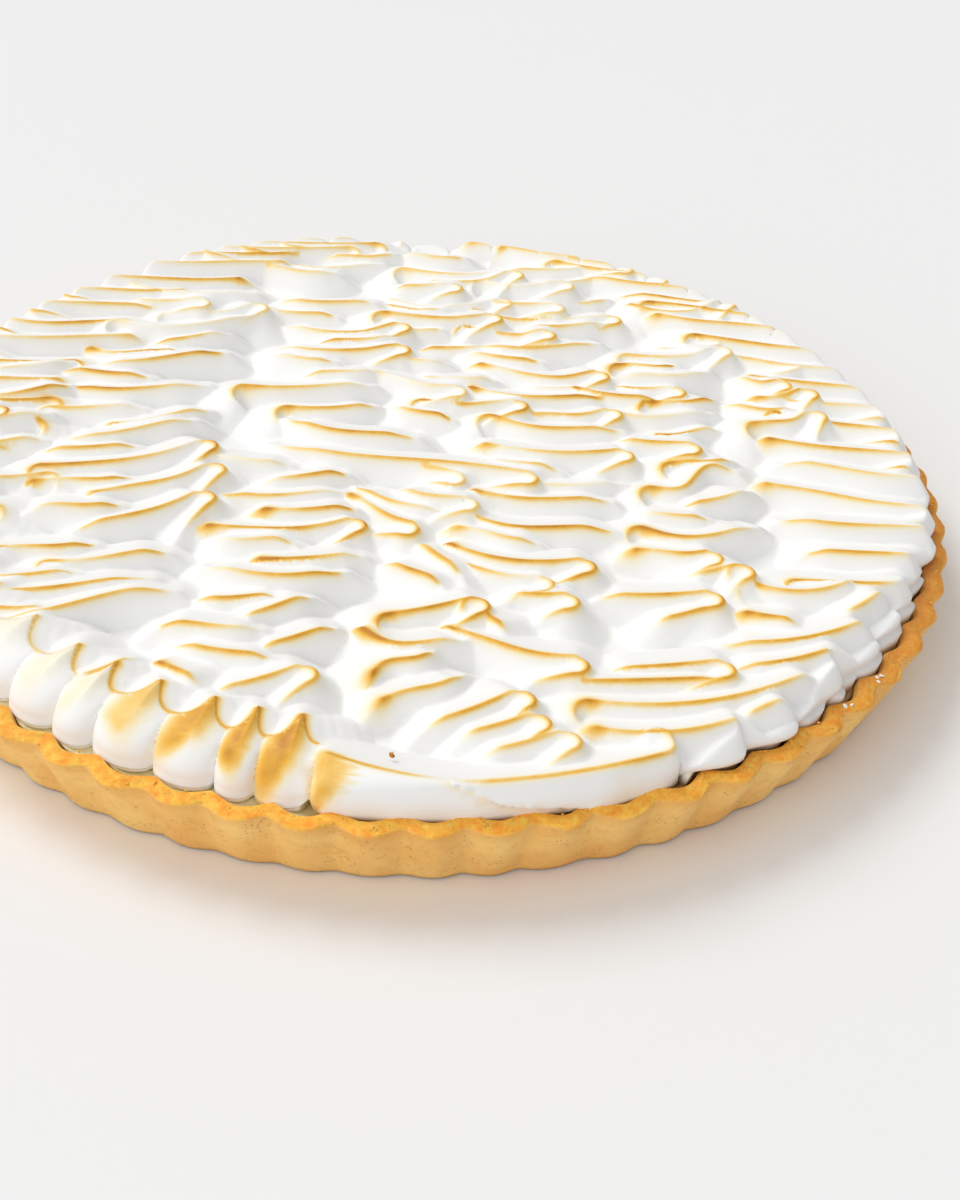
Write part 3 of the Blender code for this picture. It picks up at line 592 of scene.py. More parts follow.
# Pleats that stand out from the columns: left and right end, how far the middle swings
# forward, how far it snakes, how each end is finished, and how strongly it is torched.
bold_pleats = (
    ((0.332, -0.802), (0.545, -0.770), 0.020, 0.0, "bulb", "finger", 0.80),
    ((0.565, -0.745), (0.615, -0.718), 0.0, 0.0, "plain", "round", 0.80),
    ((0.323, -0.738), (0.660, -0.650), 0.034, 0.0, "curl", "round", 0.80),
    ((0.250, -0.695), (0.565, -0.664), 0.004, 0.0, "plain", "plain", 1.05),
    ((0.350, -0.652), (0.525, -0.628), 0.004, 0.0, "plain", "finger", 0.90),
    ((0.554, -0.623), (0.720, -0.572), 0.012, 0.0, "plain", "finger", 0.95),
    ((0.537, -0.560), (0.768, -0.500), 0.022, 0.0, "plain", "round", 0.90),
    ((0.437, -0.513), (0.537, -0.473), 0.004, 0.0, "plain", "plain", 0.95),
    ((0.590, -0.478), (0.665, -0.500), 0.002, 0.0, "bulb", "plain", 1.00),
    ((0.750, -0.462), (0.815, -0.410), 0.004, 0.0, "plain", "round", 0.60),
    ((0.612, -0.395), (0.765, -0.385), 0.022, 0.0, "curl", "round", 0.70),
    ((0.506, -0.374), (0.577, -0.353), 0.003, 0.0, "plain", "ring", 0.80),
    ((0.345, -0.447), (0.522, -0.438), 0.008, 0.0, "plain", "finger", 0.90),
    ((0.195, -0.462), (0.285, -0.470), 0.004, 0.0, "plain", "finger", 0.85),
    ((0.100, -0.572), (0.300, -0.640), 0.012, -0.004, "bulb", "finger", 0.95),
    ((0.145, -0.515), (0.188, -0.566), 0.003, 0.0, "bulb", "plain", 1.00),
    ((0.168, -0.870), (0.275, -0.828), 0.004, 0.0, "plain", "finger", 0.60),
    ((0.133, -0.832), (0.230, -0.792), 0.004, 0.0, "plain", "finger", 0.80),
    ((0.080, -0.812), (0.203, -0.740), 0.006, 0.0, "plain", "finger", 0.90),
    ((0.010, -0.765), (0.130, -0.690), 0.008, -0.006, "bulb", "plain", 0.75),
    ((-0.010, -0.700), (0.080, -0.635), 0.0, -0.010, "bulb", "plain", 0.95),
    ((0.000, -0.545), (0.130, -0.500), 0.004, 0.0, "curl", "ring", 1.05),
    ((-0.270, -0.010), (0.220, -0.090), 0.012, 0.010, "plain", "finger", 0.75),
    ((-0.250, 0.090), (0.010, 0.030), 0.034, 0.004, "plain", "plain", 1.00),
    ((0.110, -0.225), (0.380, -0.255), 0.026, 0.008, "bulb", "plain", 1.10),
    ((0.090, -0.330), (0.310, -0.365), 0.026, 0.0, "bulb", "finger", 1.10),
    ((0.030, -0.320), (0.110, -0.415), 0.004, 0.0, "plain", "plain", 0.90),
    ((-0.020, -0.390), (0.080, -0.450), 0.002, 0.0, "plain", "plain", 1.00),
    ((0.450, -0.100), (0.610, -0.020), 0.0, 0.022, "curl", "plain", 0.80),
    ((0.310, 0.265), (0.480, 0.235), 0.014, 0.0, "bulb", "plain", 0.95),
    ((-0.630, -0.620), (-0.350, -0.515), 0.0, 0.008, "plain", "plain", 0.70),
    ((-0.470, -0.760), (-0.380, -0.700), 0.010, 0.0, "plain", "plain", 0.60),
    ((-0.340, -0.710), (-0.280, -0.750), 0.0, 0.0, "bulb", "plain", 0.90),
    ((-0.330, -0.650), (-0.170, -0.680), 0.010, 0.0, "plain", "plain", 0.90),
    ((-0.250, -0.765), (-0.130, -0.710), 0.006, 0.0, "plain", "finger", 0.80),
    ((-0.200, -0.655), (-0.080, -0.590), 0.004, 0.0, "plain", "plain", 0.95),
    ((-0.240, -0.580), (-0.130, -0.510), 0.004, 0.0, "plain", "plain", 0.90),
)


def crest_rows(points, facing, heights, gold, spread):
    """One row a point: x, y, facing x, facing y, height, gold and how far the gold spreads."""
    count = len(points)
    return np.column_stack([points, facing, np.broadcast_to(heights, count),
                            np.broadcast_to(gold, count), np.broadcast_to(spread, count)])


def course_of(points):
    """Unit direction of travel along a line of points, and the direction to its right."""
    course = np.gradient(points, axis=0)
    course /= np.linalg.norm(course, axis=1)[:, None]
    return course, np.column_stack([course[:, 1], -course[:, 0]])


def curl_rows(start, course, facing, length, crest, gold, spacing):
    """Left end turned forward round a hollow, so that its steep side faces inward."""
    radius = min(0.0028, 0.22 * length)
    turn = np.linspace(0.0, math.radians(150.0), max(5, int(2.6 * radius / spacing)))
    outward = -np.outer(np.cos(turn), facing) - np.outer(np.sin(turn), course)
    fade = turn / turn[-1]
    return crest_rows(start + facing * radius + outward * radius, -outward,
                      crest - 0.0022 * fade ** 2, gold * (1.0 - fade) ** 0.8,
                      line_spread + bulb_spread * (1.0 - fade))


def finger_rows(end, course, facing, length, radius, start, crest, gold, spacing):
    """Right end turned forward into a rounded tongue, whose front lip runs back a little."""
    turn = np.linspace(start, math.pi, max(6, int(3.0 * radius / spacing)))
    outward = -np.outer(np.cos(turn), facing) + np.outer(np.sin(turn), course)
    rise = smooth_step((turn - start) / 1.2)
    tip = crest_rows(end + facing * radius + outward * radius, outward,
                     crest - 0.0004 * (1.0 - rise), gold * (0.55 + 0.45 * rise), line_spread)
    back = np.linspace(0.0, 1.0, max(5, int(0.4 * length / spacing)))
    way = -course + 0.12 * facing
    lip = crest_rows(end + 2.0 * radius * facing + np.outer(back * min(0.009, 0.42 * length), way),
                     np.tile(facing, (len(back), 1)), crest - 0.0026 * back ** 1.3,
                     gold * (1.0 - back) ** 0.8, line_spread)
    return [tip, lip]


def pleat_rows(left, right, sag, snake, ends, crest, gold, peak, spacing, hook=0.0):
    """Crest of one pleat and of its turned ends; the side it faces is the steep one.

    Gold is how strongly it is torched, most of all at the share 'peak' of its length, and hook
    is how far its right end flicks up.
    """
    left_end, right_end = ends
    length = math.dist(left, right)
    front = np.array([right[1] - left[1], left[0] - right[0]]) / length
    share = np.linspace(0.0, 1.0, max(4, int(length / spacing)))
    bow = 4.0 * sag * share * (1.0 - share) + snake * np.sin(2.0 * math.pi * share)
    points = np.outer(1.0 - share, left) + np.outer(share, right) + np.outer(bow, front)
    course, facing = course_of(points)
    drop = end_rise * (0.5 - share)
    tone = gold * np.exp(-((share - peak) / 0.55) ** 2)
    for end, inward in ((left_end, share), (right_end, 1.0 - share)):
        if end == "plain":
            drop += end_drop * (1.0 - smooth_step(inward / 0.25))
            tone *= smooth_step(inward / 0.12)
    drop -= hook * smooth_step((share - 0.72) / 0.28)
    swell = np.exp(-(share * length / 0.0035) ** 2) * (left_end in ("bulb", "curl"))
    heights = np.minimum(crest - drop, highest_crest)
    rows = [crest_rows(points, facing, heights, np.maximum(tone, gold * swell),
                       line_spread + bulb_spread * swell)]
    if left_end == "curl":
        rows.append(curl_rows(points[0], course[0], facing[0], length, heights[0], gold, spacing))
    if right_end in ("finger", "ring"):
        turned = math.radians(20.0 if right_end == "finger" else -60.0)
        rows += finger_rows(points[-1], course[-1], facing[-1], length,
                            min(finger_radius, 0.35 * length), turned, heights[-1],
                            max(gold, 0.4), spacing)
    return rows


def column_pleats(spacing):
    """Pleats in their columns from back to front: whole ones, left parts and right parts."""
    draw = random.Random(23)
    tone = random.Random(5)
    kinds = {"whole": (-0.95, 0.95), "left": (-1.0, 0.15), "right": (-0.25, 1.0)}
    taken = rim_radius * np.array([
        np.add(np.multiply(1.0 - t, left), np.multiply(t, right))
        for left, right, *_ in bold_pleats for t in (0.0, 0.25, 0.5, 0.75, 1.0)])
    rows = []
    for x_left, x_right, y_front, y_back, tilts in pleat_columns:
        middle = 0.5 * (x_left + x_right) * rim_radius
        half = 0.5 * (x_right - x_left) * rim_radius
        y = y_back * rim_radius
        kind = "whole"
        while y > y_front * rim_radius:
            along = (y / rim_radius - y_front) / (y_back - y_front)
            tilt = math.radians(np.interp(along, (0.0, 0.5, 1.0), tilts) + draw.uniform(-7.0, 7.0))
            kind = draw.choice([other for other in kinds if other != kind])
            u_left, u_right = (u * draw.uniform(0.8, 1.1) for u in kinds[kind])
            swing = draw.uniform(0.0022, 0.0060)
            shift = middle + 0.003 * math.sin(y * 60.0 + middle * 40.0)
            left, right = ((shift + half * u, y + half * u * math.tan(tilt) + swing * u * u)
                           for u in (u_left, u_right))
            ends = (draw.choice(("plain", "plain", "bulb", "curl")),
                    draw.choice(("plain", "finger", "plain")))
            snake = draw.uniform(-0.0008, 0.0008)
            crest = crest_height + draw.uniform(-0.0012, 0.0006)
            gold = tone.choice((0.25, 0.5, 0.7, 0.85, 1.0, 1.1))
            gold *= 1.0 - 0.4 * float(smooth_step((y / rim_radius - 0.2) / 0.5))
            peak = tone.choice((0.2, 0.5, 0.8))
            toward_back = float(smooth_step((y / rim_radius - 0.15) / 0.40))
            crest -= 0.0020 * toward_back * tone.random()
            hook = 0.0019 * toward_back * tone.random()
            centre = np.add(left, right) / 2.0
            clear = np.hypot(*(taken - centre).T).min() > 0.0055
            inside = max(math.hypot(*left), math.hypot(*right)) < meringue_radius - 0.004
            if clear and inside and draw.random() > 0.08:
                swing *= 0.25 * (u_right - u_left) ** 2 * (1.0 + 0.5 * toward_back)
                rows += pleat_rows(left, right, swing, snake, ends, crest, gold, peak, spacing,
                                   hook)
            y -= 0.5 * pleat_pitch * draw.uniform(1.5, 2.3)
    return rows


def chosen_pleats(spacing):
    """The pleats that stand out from the columns."""
    rows = []
    for left, right, sag, snake, left_end, right_end, gold in bold_pleats:
        rows += pleat_rows(np.multiply(left, rim_radius), np.multiply(right, rim_radius),
                           sag * rim_radius, snake * rim_radius, (left_end, right_end),
                           crest_height, gold, 0.55, spacing)
    return rows


def edge_pleats(spacing):
    """Pleats that run out to the corners of the upright lobes, mirrored on the left side.

    At the front right the chosen pleats stand in for them.
    """
    draw = random.Random(12)
    tone = random.Random(9)
    rows = []
    for crease, width in zip(creases[:-1], np.diff(creases)):
        corner = math.degrees(crease + corner_share * width)
        side = (corner + 180.0) % 360.0 - 180.0
        mirrored = abs(side) > 90.0
        side = math.copysign(180.0, side) - side if mirrored else side
        chosen = not mirrored and -62.0 < side < -24.0
        if abs(side) > 72.0 or chosen or droop(math.radians(corner)) > 0.5:
            continue
        tilt = math.radians(np.interp(side, (-62.0, -28.0, -19.0, -10.0, 20.0, 72.0),
                                      (26.0, 20.0, 0.0, -10.0, -9.0, -16.0)) + draw.uniform(-4.0, 4.0))
        length = rim_radius * np.interp(side, (-62.0, -40.0, -28.0, -15.0, 72.0),
                                        (0.22, 0.15, 0.13, 0.26, 0.29)) * draw.uniform(0.8, 1.1)
        reach = meringue_radius - tip_reach
        right = (reach * math.cos(math.radians(side)), reach * math.sin(math.radians(side)))
        left = (right[0] - length * math.cos(tilt), right[1] - length * math.sin(tilt))
        ends = (draw.choice(("plain", "bulb", "curl")), draw.choice(("round", "finger")))
        crest = crest_height + draw.uniform(-0.0012, 0.0002)
        sag, snake = draw.uniform(0.0, 0.0022), draw.uniform(-0.0008, 0.0008)
        gold = tone.choice((0.5, 0.7, 0.9, 1.0))
        if on_ribbon(math.radians(corner)) > 0.5:
            continue
        for row in pleat_rows(left, right, sag, snake, ends, crest, gold, 0.4, spacing):
            if mirrored:
                row[:, (0, 2)] *= -1.0
            rows.append(row)
    return rows


def ribbon_pleat(spacing):
    """The long ribbon along the front edge, whose right end turns back as a rounded loop."""
    loop = 0.0042
    angles = np.arange(ribbon_start + 0.02, ribbon_end - 0.03, spacing / ribbon_radius)
    outward = np.column_stack([np.cos(angles), np.sin(angles)])
    share = (angles - ribbon_start) / (ribbon_end - ribbon_start)
    radius = ribbon_crest(angles)
    gold = np.interp(share, (0.0, 0.25, 0.34, 0.39, 0.48, 0.60, 1.0),
                     (0.9, 0.45, 0.05, 0.10, 0.85, 0.75, 1.05))
    front = crest_rows(outward * radius[:, None], outward, crest_height, gold, line_spread)
    along = np.array([-outward[-1][1], outward[-1][0]])
    turn = np.linspace(-0.5 * math.pi, 0.5 * math.pi, int(loop * math.pi / spacing))
    around_tip = np.outer(np.cos(turn), along) + np.outer(np.sin(-turn), outward[-1])
    tip = crest_rows(outward[-1] * (radius[-1] - loop) + around_tip * loop, around_tip,
                     crest_height, 0.8 * smooth_step((1.6 - turn) / 1.5), line_spread)
    return [front, tip]


def lobe_top(crest):
    """Height of the crest above the drooping lobes, which dips where it swings out."""
    return crest_height + lobe_rise - lobe_dip * (crest - droop_reach) / droop_scallop


def droop_pleat(spacing):
    """Scalloped crest above the drooping lobes."""
    angles = np.arange(math.radians(-158.0), ribbon_start, spacing / meringue_radius)
    radius = droop_crest(angles)
    points = around(radius, angles, 0.0)[:, :2]
    gold = np.interp(np.degrees(angles), (-158.0, -130.0, -119.0, -96.0), (0.25, 0.5, 0.9, 1.1))
    smile = (radius - droop_reach) / droop_scallop
    return [crest_rows(points, course_of(points)[1], lobe_top(radius),
                       gold * (1.0 - 0.35 * smile), line_spread)]


def lobe_creases():
    """Angles of the creases between the edge's lobes, rising all the way round."""
    draw = random.Random(7)
    found = [math.radians(angle) for angle in crease_degrees]
    while found[-1] < found[0] + 2.0 * math.pi - math.radians(6.0):
        found.append(found[-1] + math.radians(draw.uniform(4.6, 7.0)))
    found[-1] = found[0] + 2.0 * math.pi
    return np.array(found)


def near_angle(angle, middle, half, soft):
    """1 within half of a middle angle and 0 beyond, with soft ends; the last three in degrees."""
    away = np.abs(np.mod(np.degrees(angle) - middle + 180.0, 360.0) - 180.0)
    return smooth_step((half - away) / soft + 0.5)


def droop(angle):
    """1 where the lobes droop softly, at the front left, and 0 where the edge is upright."""
    return near_angle(angle, -127.0, 32.0, 3.0)


def lobe_place(angle):
    """How far across its lobe an angle lies, from 0 to 1, and the lobe's width in radians."""
    turned = np.mod(angle - creases[0], 2.0 * math.pi) + creases[0]
    index = np.clip(np.searchsorted(creases, turned, side="right"), 1, len(creases) - 1)
    width = creases[index] - creases[index - 1]
    return (turned - creases[index - 1]) / width, width


def crease_depth(angle):
    """0 on a lobe's ridge and 1 in the creases beside it; those at the right lean over."""
    place, width = lobe_place(angle)
    place = place ** (1.0 + 1.79 * near_angle(angle, -25.0, 38.0, 8.0))
    power = np.where(width > math.radians(12.0), 9.0, 2.2)
    return 1.0 - np.sqrt(np.clip(1.0 - np.abs(2.0 * place - 1.0) ** power, 0.0, 1.0))


def on_ribbon(angle):
    """1 along the long ribbon and 0 beyond its ends."""
    return near_angle(angle, -78.1, 16.9, 2.0)


def along_ribbon(angle):
    """Angle from the ribbon's left end, below zero to the left of it."""
    return np.mod(angle - ribbon_start + math.pi, 2.0 * math.pi) - math.pi


def ribbon_crest(angle):
    """Radius of the ribbon's crest, which leans back from the edge toward its left end."""
    share = along_ribbon(angle) / (ribbon_end - ribbon_start)
    lean = np.clip(1.0 - share / lean_share, 0.0, 1.0) ** 1.5
    return ribbon_radius - 0.0012 - ribbon_lean * lean


def fold_shift(angle, height):
    """How far the ribbon's upper layer bulges over its lower one, and how near below it a point is,
    which places the painted shadow line there.
    """
    along = np.degrees(along_ribbon(angle))
    line = np.interp(along, (11.0, 12.4, 14.0, 16.4, 17.3, 19.0, 23.0, 25.5),
                     (0.0310, 0.0276, 0.0262, 0.0229, 0.0221, 0.0211, 0.0198, 0.0180))
    inside = smooth_step((along - 10.5) / 1.0) * (1.0 - smooth_step((along - 25.0) / 6.0))
    over = inside * smooth_step((height - line) / 0.0005 + 0.5)
    return fold_bulge * over, inside * (1.0 - over) * np.exp(-np.maximum(line - height, 0.0) / 0.0008)


def edge_radius(angle):
    """Radius of the meringue's edge where it bulges most."""
    radius = meringue_radius - edge_inset * near_angle(angle, -30.0, 15.0, 5.0)
    radius = radius + (ribbon_radius - radius) * on_ribbon(angle)
    soft = droop(angle)
    radius = radius + (droop_radius - radius) * soft
    return radius - lobe_depth * (1.0 + 0.6 * soft) * crease_depth(angle)


def droop_crest(angle):
    """Radius of the crest above the drooping lobes, with a cusp inward on each lobe's ridge."""
    place, _ = lobe_place(angle)
    aside = np.where(place < cusp_share, 1.0 - place / cusp_share,
                     (place - cusp_share) / (1.0 - cusp_share))
    return droop_reach + droop_scallop * (1.0 - (1.0 - aside) ** 2.6)


def soften(field, sigma):
    """A small blur, so that creases and crests are soft as whipped egg white is."""
    reach = max(1, int(3.0 * sigma))
    kernel = np.exp(-0.5 * (np.arange(-reach, reach + 1) / sigma) ** 2)
    kernel /= kernel.sum()
    for axis in (0, 1):
        padded = np.pad(field, [(reach, reach) if a == axis else (0, 0) for a in (0, 1)], "edge")
        field = sum(weight * np.take(padded, np.arange(k, k + field.shape[axis]), axis)
                    for k, weight in enumerate(kernel))
    return field


def raise_fields(axis, rows, spacing):
    """Height, fall below the crest, gold and its spread over a level grid.

    The highest pleat wins at each point. It falls steeply on the side it faces, and gently
    behind a thin raised lip on the other.
    """
    size = len(axis)
    height = np.full((size, size), valley_height)
    below = np.full((size, size), crest_height - valley_height)
    gold = np.zeros((size, size))
    spread = np.full((size, size), line_spread)
    window = 0.016
    for x, y, facing_x, facing_y, crest, tone, width in np.concatenate(rows):
        i0, i1 = np.searchsorted(axis, (x - window, x + window))
        j0, j1 = np.searchsorted(axis, (y - window, y + window))
        dx = axis[None, i0:i1] - x
        dy = axis[j0:j1, None] - y
        ahead = dx * facing_x + dy * facing_y
        beside = np.maximum(np.abs(dx * facing_y - dy * facing_x) - 0.5 * spacing, 0.0)
        behind = np.maximum(-ahead, 0.0)
        front = front_slope * np.maximum(ahead, 0.0)
        back = (back_slope * behind + lip_rise * (1.0 - np.exp(-behind / lip_width))
                + nozzle_mark * (1.0 - np.cos(2.0 * math.pi * behind / nozzle_pitch))
                + back_curve * np.maximum(behind - back_reach, 0.0) ** 2)
        fall = np.hypot(front + back, side_slope * beside)
        toasted = np.hypot(front + toast_back * behind, side_slope * beside)
        patch = height[j0:j1, i0:i1]
        wins = crest - fall > patch
        for field, value in ((patch, crest - fall), (below[j0:j1, i0:i1], toasted),
                             (gold[j0:j1, i0:i1], tone), (spread[j0:j1, i0:i1], width)):
            np.copyto(field, value, where=wins)
    step = axis[1] - axis[0]
    return soften(height, 0.00045 / step), soften(below, 0.0002 / step), gold, spread


def read_field(field, axis, x, y):
    """Value between the grid's points."""
    step = axis[1] - axis[0]
    u = np.clip((x - axis[0]) / step, 0.0, len(axis) - 1.001)
    v = np.clip((y - axis[0]) / step, 0.0, len(axis) - 1.001)
    i = u.astype(int)
    j = v.astype(int)
    a = u - i
    b = v - j
    low = field[j, i] * (1.0 - a) + field[j, i + 1] * a
    high = field[j + 1, i] * (1.0 - a) + field[j + 1, i + 1] * a
    return low * (1.0 - b) + high * b


def disc_points(rings):
    """Angle and share of the radius of points in rings of 6, 12, 18 and so on, centre first."""
    angles = [np.zeros(1)]
    shares = [np.zeros(1)]
    for n in range(1, rings + 1):
        angles.append(np.arange(6 * n) * math.pi / (3.0 * n))
        shares.append(np.full(6 * n, n / rings))
    return np.concatenate(angles), np.concatenate(shares)


def disc_faces(rings):
    """Triangles between the rings of disc_points."""
    faces = []
    for n in range(1, rings + 1):
        outer = 1 + 3 * n * (n - 1)
        inner = 1 + 3 * (n - 1) * (n - 2) if n > 1 else 0
        side, k = np.divmod(np.arange(6 * n), n)
        a = outer + side * n + k
        b = outer + (side * n + k + 1) % (6 * n)
        inner_count = max(1, 6 * (n - 1))
        c = inner + (side * (n - 1) + k) % inner_count
        d = inner + (side * (n - 1) + k + 1) % inner_count
        faces.append(np.column_stack([a, b, c]))
        faces.append(np.column_stack([b, d, c])[k < n - 1])
    return np.concatenate(faces)


def top_height(angle, radius, field_height):
    """Height of the piped top: level pleats, rounded over at the edge or drooping as lobes."""
    edge = edge_radius(angle)
    crease = crease_depth(angle)
    inward = edge - radius
    near_edge = smooth_step(1.0 - inward / edge_reach)
    upright = np.maximum(field_height, valley_height + (edge_height - valley_height) * near_edge)
    upright = upright - 0.0020 * crease * smooth_step(1.0 - inward / crease_reach)
    ribbon = on_ribbon(angle)
    lean = ribbon_crest(angle)
    across = np.clip((radius - lean) / (edge - lean), 0.0, 1.0)
    face = ribbon_face + (crest_height - 0.0003 - ribbon_face) * np.sqrt(1.0 - across ** 2)
    upright = np.maximum(upright, face * ribbon * (radius > lean))
    slope = wall_slope + (ribbon_slope - wall_slope) * ribbon
    wall = shelf_height + wall_rise + (ribbon_rise - wall_rise) * ribbon + slope * inward
    over = upright - wall
    upright = 0.5 * (upright + wall - np.hypot(over, 0.0010))
    crest = droop_crest(angle)
    out = np.clip((radius - crest) / (edge - crest), 0.0, 1.0)
    foot = meringue_base + face_foot
    lobe = foot + (lobe_top(crest) - 0.0008 * crease - foot) * np.sqrt(1.0 - out ** 2.2)
    soft = droop(angle) * (radius > crest)
    return upright * (1.0 - soft) + lobe * soft, out * soft


def torch_patches_and_fold_shade(angle, radius, out, height):
    """Broad golden patches on the drooping lobes' faces and on the ribbon's rounded left end, and a
    faint painted shadow line, partly toast, just under where the ribbon's upper layer folds over its
    lower one.
    """
    place, _ = lobe_place(angle)
    strength = np.interp(np.degrees(angle), (-140.0, -119.0, -113.6, -107.0, -102.0, -96.0),
                         (0.05, 0.12, 0.42, 0.76, 0.90, 0.85))
    reach = 0.62 + 0.16 * np.sin(np.degrees(angle) * 0.55)
    side = np.exp(-np.abs((place - 0.44 + 0.16 * out) / 0.32) ** 3)
    lobes = strength * side * smooth_step(out / 0.03) * (1.0 - smooth_step((out - reach) / 0.36))
    along = ribbon_radius * along_ribbon(angle)
    nose = smooth_step(1.0 - (along - 0.0005 - 0.65 * (height - 0.0195)) / 0.0040)
    ahead = radius - ribbon_crest(angle)
    nose *= 0.50 * on_ribbon(angle) * smooth_step(ahead / 0.0030 + 1.0)
    # Painted shadow, partly toast: a faint cream-gold line just under where the ribbon's upper layer
    # folds over its lower one.
    shade_under_fold = 0.18 * fold_shift(angle, height)[1] * smooth_step(ahead / 0.0006)
    soft = droop(angle)
    return lobes * soft + np.maximum(nose, shade_under_fold) * (1.0 - soft)


def wall_rings(angle, edge, top):
    """Points down the wall from the top's edge, tucked in under it, to the middle of the base."""
    ribbon = on_ribbon(angle)
    shelf = shelf_height - ribbon_sink * ribbon
    foot = edge + foot_spread * (1.0 - droop(angle)) - ribbon_foot * ribbon
    rings = []
    for k in range(1, wall_levels + 1):
        down = min(k / (wall_levels - 2), 1.0)
        level = top + (np.minimum(top, shelf) - top) * down
        belly = 0.0007 * max(0.0, down - 0.4) ** 2
        radius = edge - belly * (1.0 - 2.0 * ribbon) + fold_shift(angle, level)[0]
        if k > wall_levels - 2:
            radius = np.minimum(foot, inside_radius(angle, 0.97) - tuck_gap)
            level = np.minimum(level - shelf_drop, top - 0.0002)
        if k == wall_levels:
            radius = np.minimum(foot, inside_radius(angle, 0.86) - tuck_gap)
            level = meringue_base
        rings.append(around(radius, angle, level))
    return rings + [[(0.0, 0.0, meringue_base)]]


def meringue_faces(edge_start, count):
    """Triangles of the top, of the wall below its edge, and of the flat underside."""
    i = np.arange(count)
    j = (i + 1) % count
    faces = [disc_faces(meringue_rings)]
    last = edge_start + wall_levels * count
    for upper in range(edge_start, last, count):
        lower = upper + count
        faces += [np.column_stack([lower + i, lower + j, upper + j]),
                  np.column_stack([lower + i, upper + j, upper + i])]
    faces.append(np.column_stack([0 * i + last + count, last + j, last + i]))
    return np.concatenate(faces).tolist()


def make_meringue():
    """Piped top over an upright, lobed edge and a flat underside, with its golden tones and a painted
    shadow line under the ribbon's upper layer.
    """
    rows = [row for pleats in (column_pleats, chosen_pleats, edge_pleats, ribbon_pleat,
                               droop_pleat) for row in pleats(line_spacing)]
    reach = meringue_radius + 0.003
    axis = np.arange(-reach, reach + field_step, field_step)
    height, below, gold, spread = raise_fields(axis, rows, line_spacing)
    angles, shares = disc_points(meringue_rings)
    lobed = smooth_step((shares - 0.90) / 0.10)
    radius = shares * (meringue_radius + (edge_radius(angles) - meringue_radius) * lobed)
    surface = read_field(height, axis, radius * np.cos(angles), radius * np.sin(angles))
    z, _ = top_height(angles, radius, surface)
    on_face = smooth_step((radius - ribbon_crest(angles)) / 0.0010)
    count = 6 * meringue_rings
    points = [around(radius + fold_shift(angles, z)[0] * on_face, angles, z)]
    points += wall_rings(angles[-count:], radius[-count:], z[-count:])
    made = add_mesh("meringue_pleats", np.concatenate(points).tolist(),
                    meringue_faces(len(z) - count, count))
    fewer = made.modifiers.new("fewer_faces", "DECIMATE")
    fewer.ratio = min(1.0, meringue_triangles / len(made.data.polygons))
    apply_modifier(made, fewer)
    place = np.empty(3 * len(made.data.vertices), np.float32)
    made.data.vertices.foreach_get("co", place)
    x, y, z = place.reshape(-1, 3).T.astype(float)
    angles = np.arctan2(y, x)
    radius = np.hypot(x, y)
    surface = read_field(height, axis, x, y)
    _, out = top_height(angles, np.minimum(radius, edge_radius(angles)), surface)
    set_attribute(made, "fall", read_field(below, axis, x, y) + np.clip(surface - z, 0.0, 0.02))
    set_attribute(made, "toast", read_field(gold, axis, x, y))
    set_attribute(made, "spread", read_field(spread, axis, x, y))
    # The patch attribute also carries the painted shadow line under the ribbon's upper layer.
    set_attribute(made, "patch", torch_patches_and_fold_shade(angles, radius, out, z))
    return made


def meringue_material():
    """Bright white whipped sugar, golden where the torch caught a crest or a lobe's face, with a faint
    painted shadow line, partly toast, where the ribbon's upper layer folds over its lower one.
    """
    white = start_material("meringue_toasted", 0.50, 0.30)
    tree = white.node_tree
    place = node(tree, "ShaderNodeTexCoord").outputs["Object"]
    fall, toast, spread, patch = (
        read_attribute(tree, name) for name in ("fall", "toast", "spread", "patch"))
    decay = calculate(tree, "MULTIPLY", calculate(tree, "DIVIDE", fall, spread), -1.0)
    line = calculate(tree, "MULTIPLY", calculate(tree, "MULTIPLY", toast, 1.4),
                     calculate(tree, "EXPONENT", decay))
    uneven = calculate(tree, "MULTIPLY_ADD", noise(tree, place, 230.0, 3.0), 0.8, 0.60)
    tone = calculate(tree, "MULTIPLY", calculate(tree, "MAXIMUM", line, patch), uneven)
    toasted = colour_ramp(tree, tone, (
        (0.0, (0.93, 0.928, 0.918)), (0.12, (0.93, 0.85, 0.64)), (0.30, (0.93, 0.66, 0.24)),
        (0.58, (0.84, 0.45, 0.055)), (1.0, (0.55, 0.22, 0.02))))
    return dress(white, toasted, noise(tree, place, 700.0, 2.0), 0.06, 0.0004)


creases = lobe_creases()
meringue = make_meringue()
meringue.data.materials.clear()
meringue.data.materials.append(meringue_material())
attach(meringue, "root")
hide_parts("meringue")


# Crumbs: flakes of the cut pastry all round the rim, drops of white meringue on it at the front
# right and one toasted crumb on the meringue, each kind set out by the same node tree.
crumb_sides = 14
on_rim = 0.0196


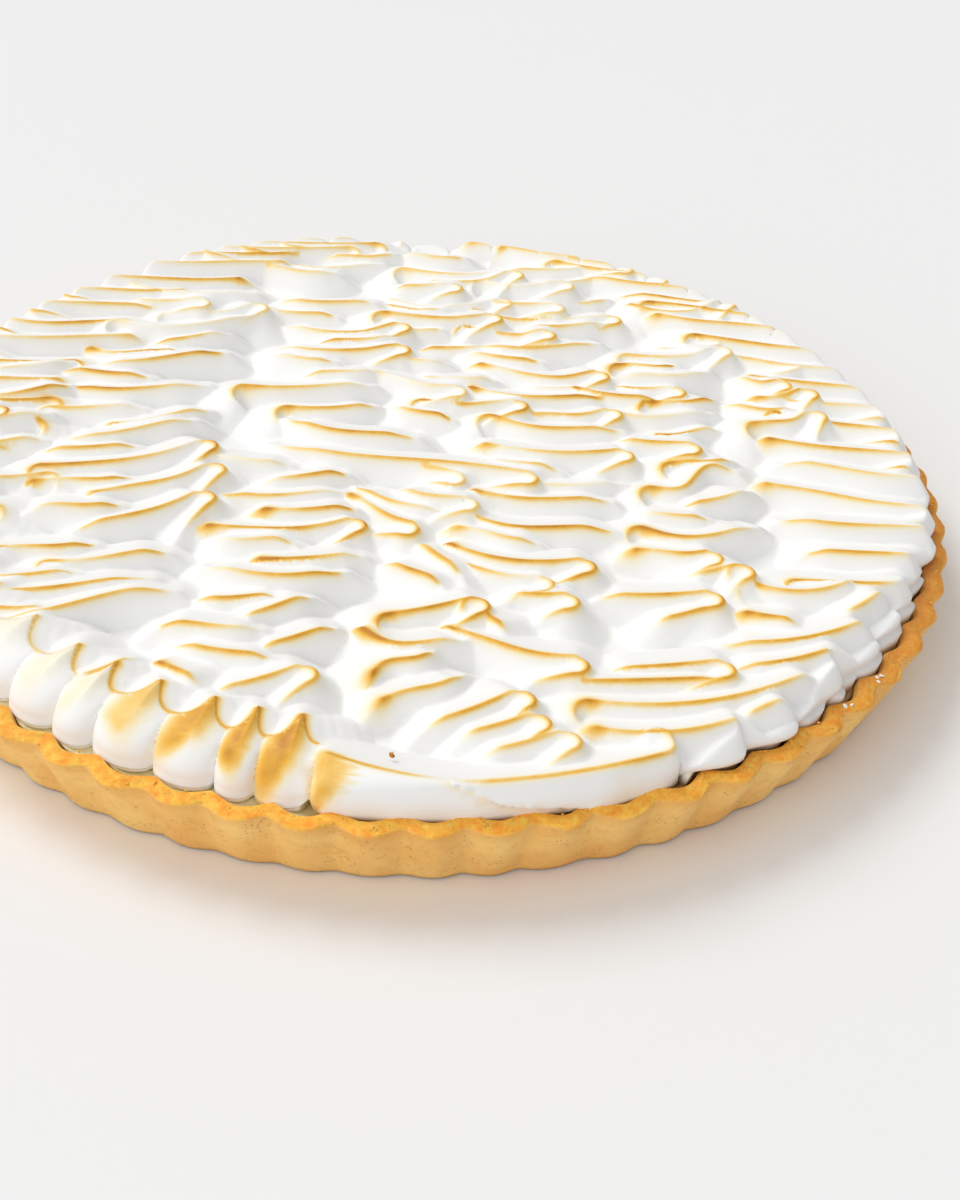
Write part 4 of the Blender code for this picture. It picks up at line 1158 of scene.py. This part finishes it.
def crumb_tree():
    """Node tree that sets rough crumbs of one size on given points."""
    tree, given = start_tree("set_out_crumbs", ("Size", "Roughness"), ("Seed",))
    ball = node(tree, "GeometryNodeMeshUVSphere", inputs={
        "Segments": crumb_sides, "Rings": crumb_sides // 2, "Radius": 0.5}).outputs[0]

    def at_random(low, high):
        """A vector drawn for each crumb."""
        return node(tree, "FunctionNodeRandomValue", data_type="FLOAT_VECTOR", inputs={
            0: low, 1: high, "Seed": given["Seed"]}).outputs[0]

    shape = steer(tree, "SCALE", at_random((0.7, 0.5, 0.4), (1.3, 0.9, 0.6)), Scale=given["Size"])
    set_out = node(tree, "GeometryNodeInstanceOnPoints", inputs={
        "Points": given["Geometry"], "Instance": ball, "Scale": shape,
        "Rotation": at_random((0.0, 0.0, 0.0), (0.5, 0.5, 6.28))}).outputs[0]
    real = node(tree, "GeometryNodeRealizeInstances", inputs={0: set_out}).outputs[0]
    cloud = node(tree, "ShaderNodeTexNoise", inputs={
        "Vector": node(tree, "GeometryNodeInputPosition").outputs[0],
        "Scale": 1400.0}).outputs["Color"]
    rough = steer(tree, "SCALE", steer(tree, "SUBTRACT", cloud, (0.5, 0.5, 0.5)),
                  Scale=calculate(tree, "MULTIPLY", given["Size"], given["Roughness"]))
    moved = node(tree, "GeometryNodeSetPosition", inputs={
        "Geometry": real, "Offset": rough}).outputs[0]
    return end_tree(tree, moved, given["Material"])


def make_crumbs(name, places, size, roughness, seed, look):
    """Crumbs of one kind at places given as degrees round, share of the radius and height."""
    degrees, share, height = np.array(places).T
    crumbs = add_mesh(name, around(share * rim_radius, np.radians(degrees), height).tolist(), [])
    shape_by_nodes(crumbs, crumbs_on, {
        "Size": size, "Roughness": roughness, "Seed": seed, "Material": look})
    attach(crumbs, "root")
    return crumbs


def rim_flakes():
    """Places of the flakes all round the cut rim."""
    draw = random.Random(31)
    return [(draw.uniform(-180.0, 180.0), draw.uniform(0.966, 0.994), shell_height + 0.0002)
            for _ in range(90)] + [(5.5, 0.995, on_rim)]


crumbs_on = crumb_tree()
flakes = make_crumbs("rim_flakes", rim_flakes(), 0.00085, 0.7, 3,
                     plain_material("flaked_crust", (0.86, 0.42, 0.06), 0.6, 0.5))
drops = make_crumbs("white_drops", (
    (-35.6, 0.985, on_rim), (-34.6, 0.982, on_rim), (-35.1, 0.978, on_rim),
    (-40.5, 0.984, on_rim), (-41.1, 0.978, on_rim)), 0.0011, 0.6, 5,
    plain_material("white_drop", (0.93, 0.90, 0.85), 0.4, 0.5))
toasted_crumb = make_crumbs("toasted_crumb", ((-87.9, 0.894, 0.0272),), 0.0014, 1.2, 8,
                            plain_material("toasted_crumb_look", (0.52, 0.20, 0.02), 0.6, 0.5))
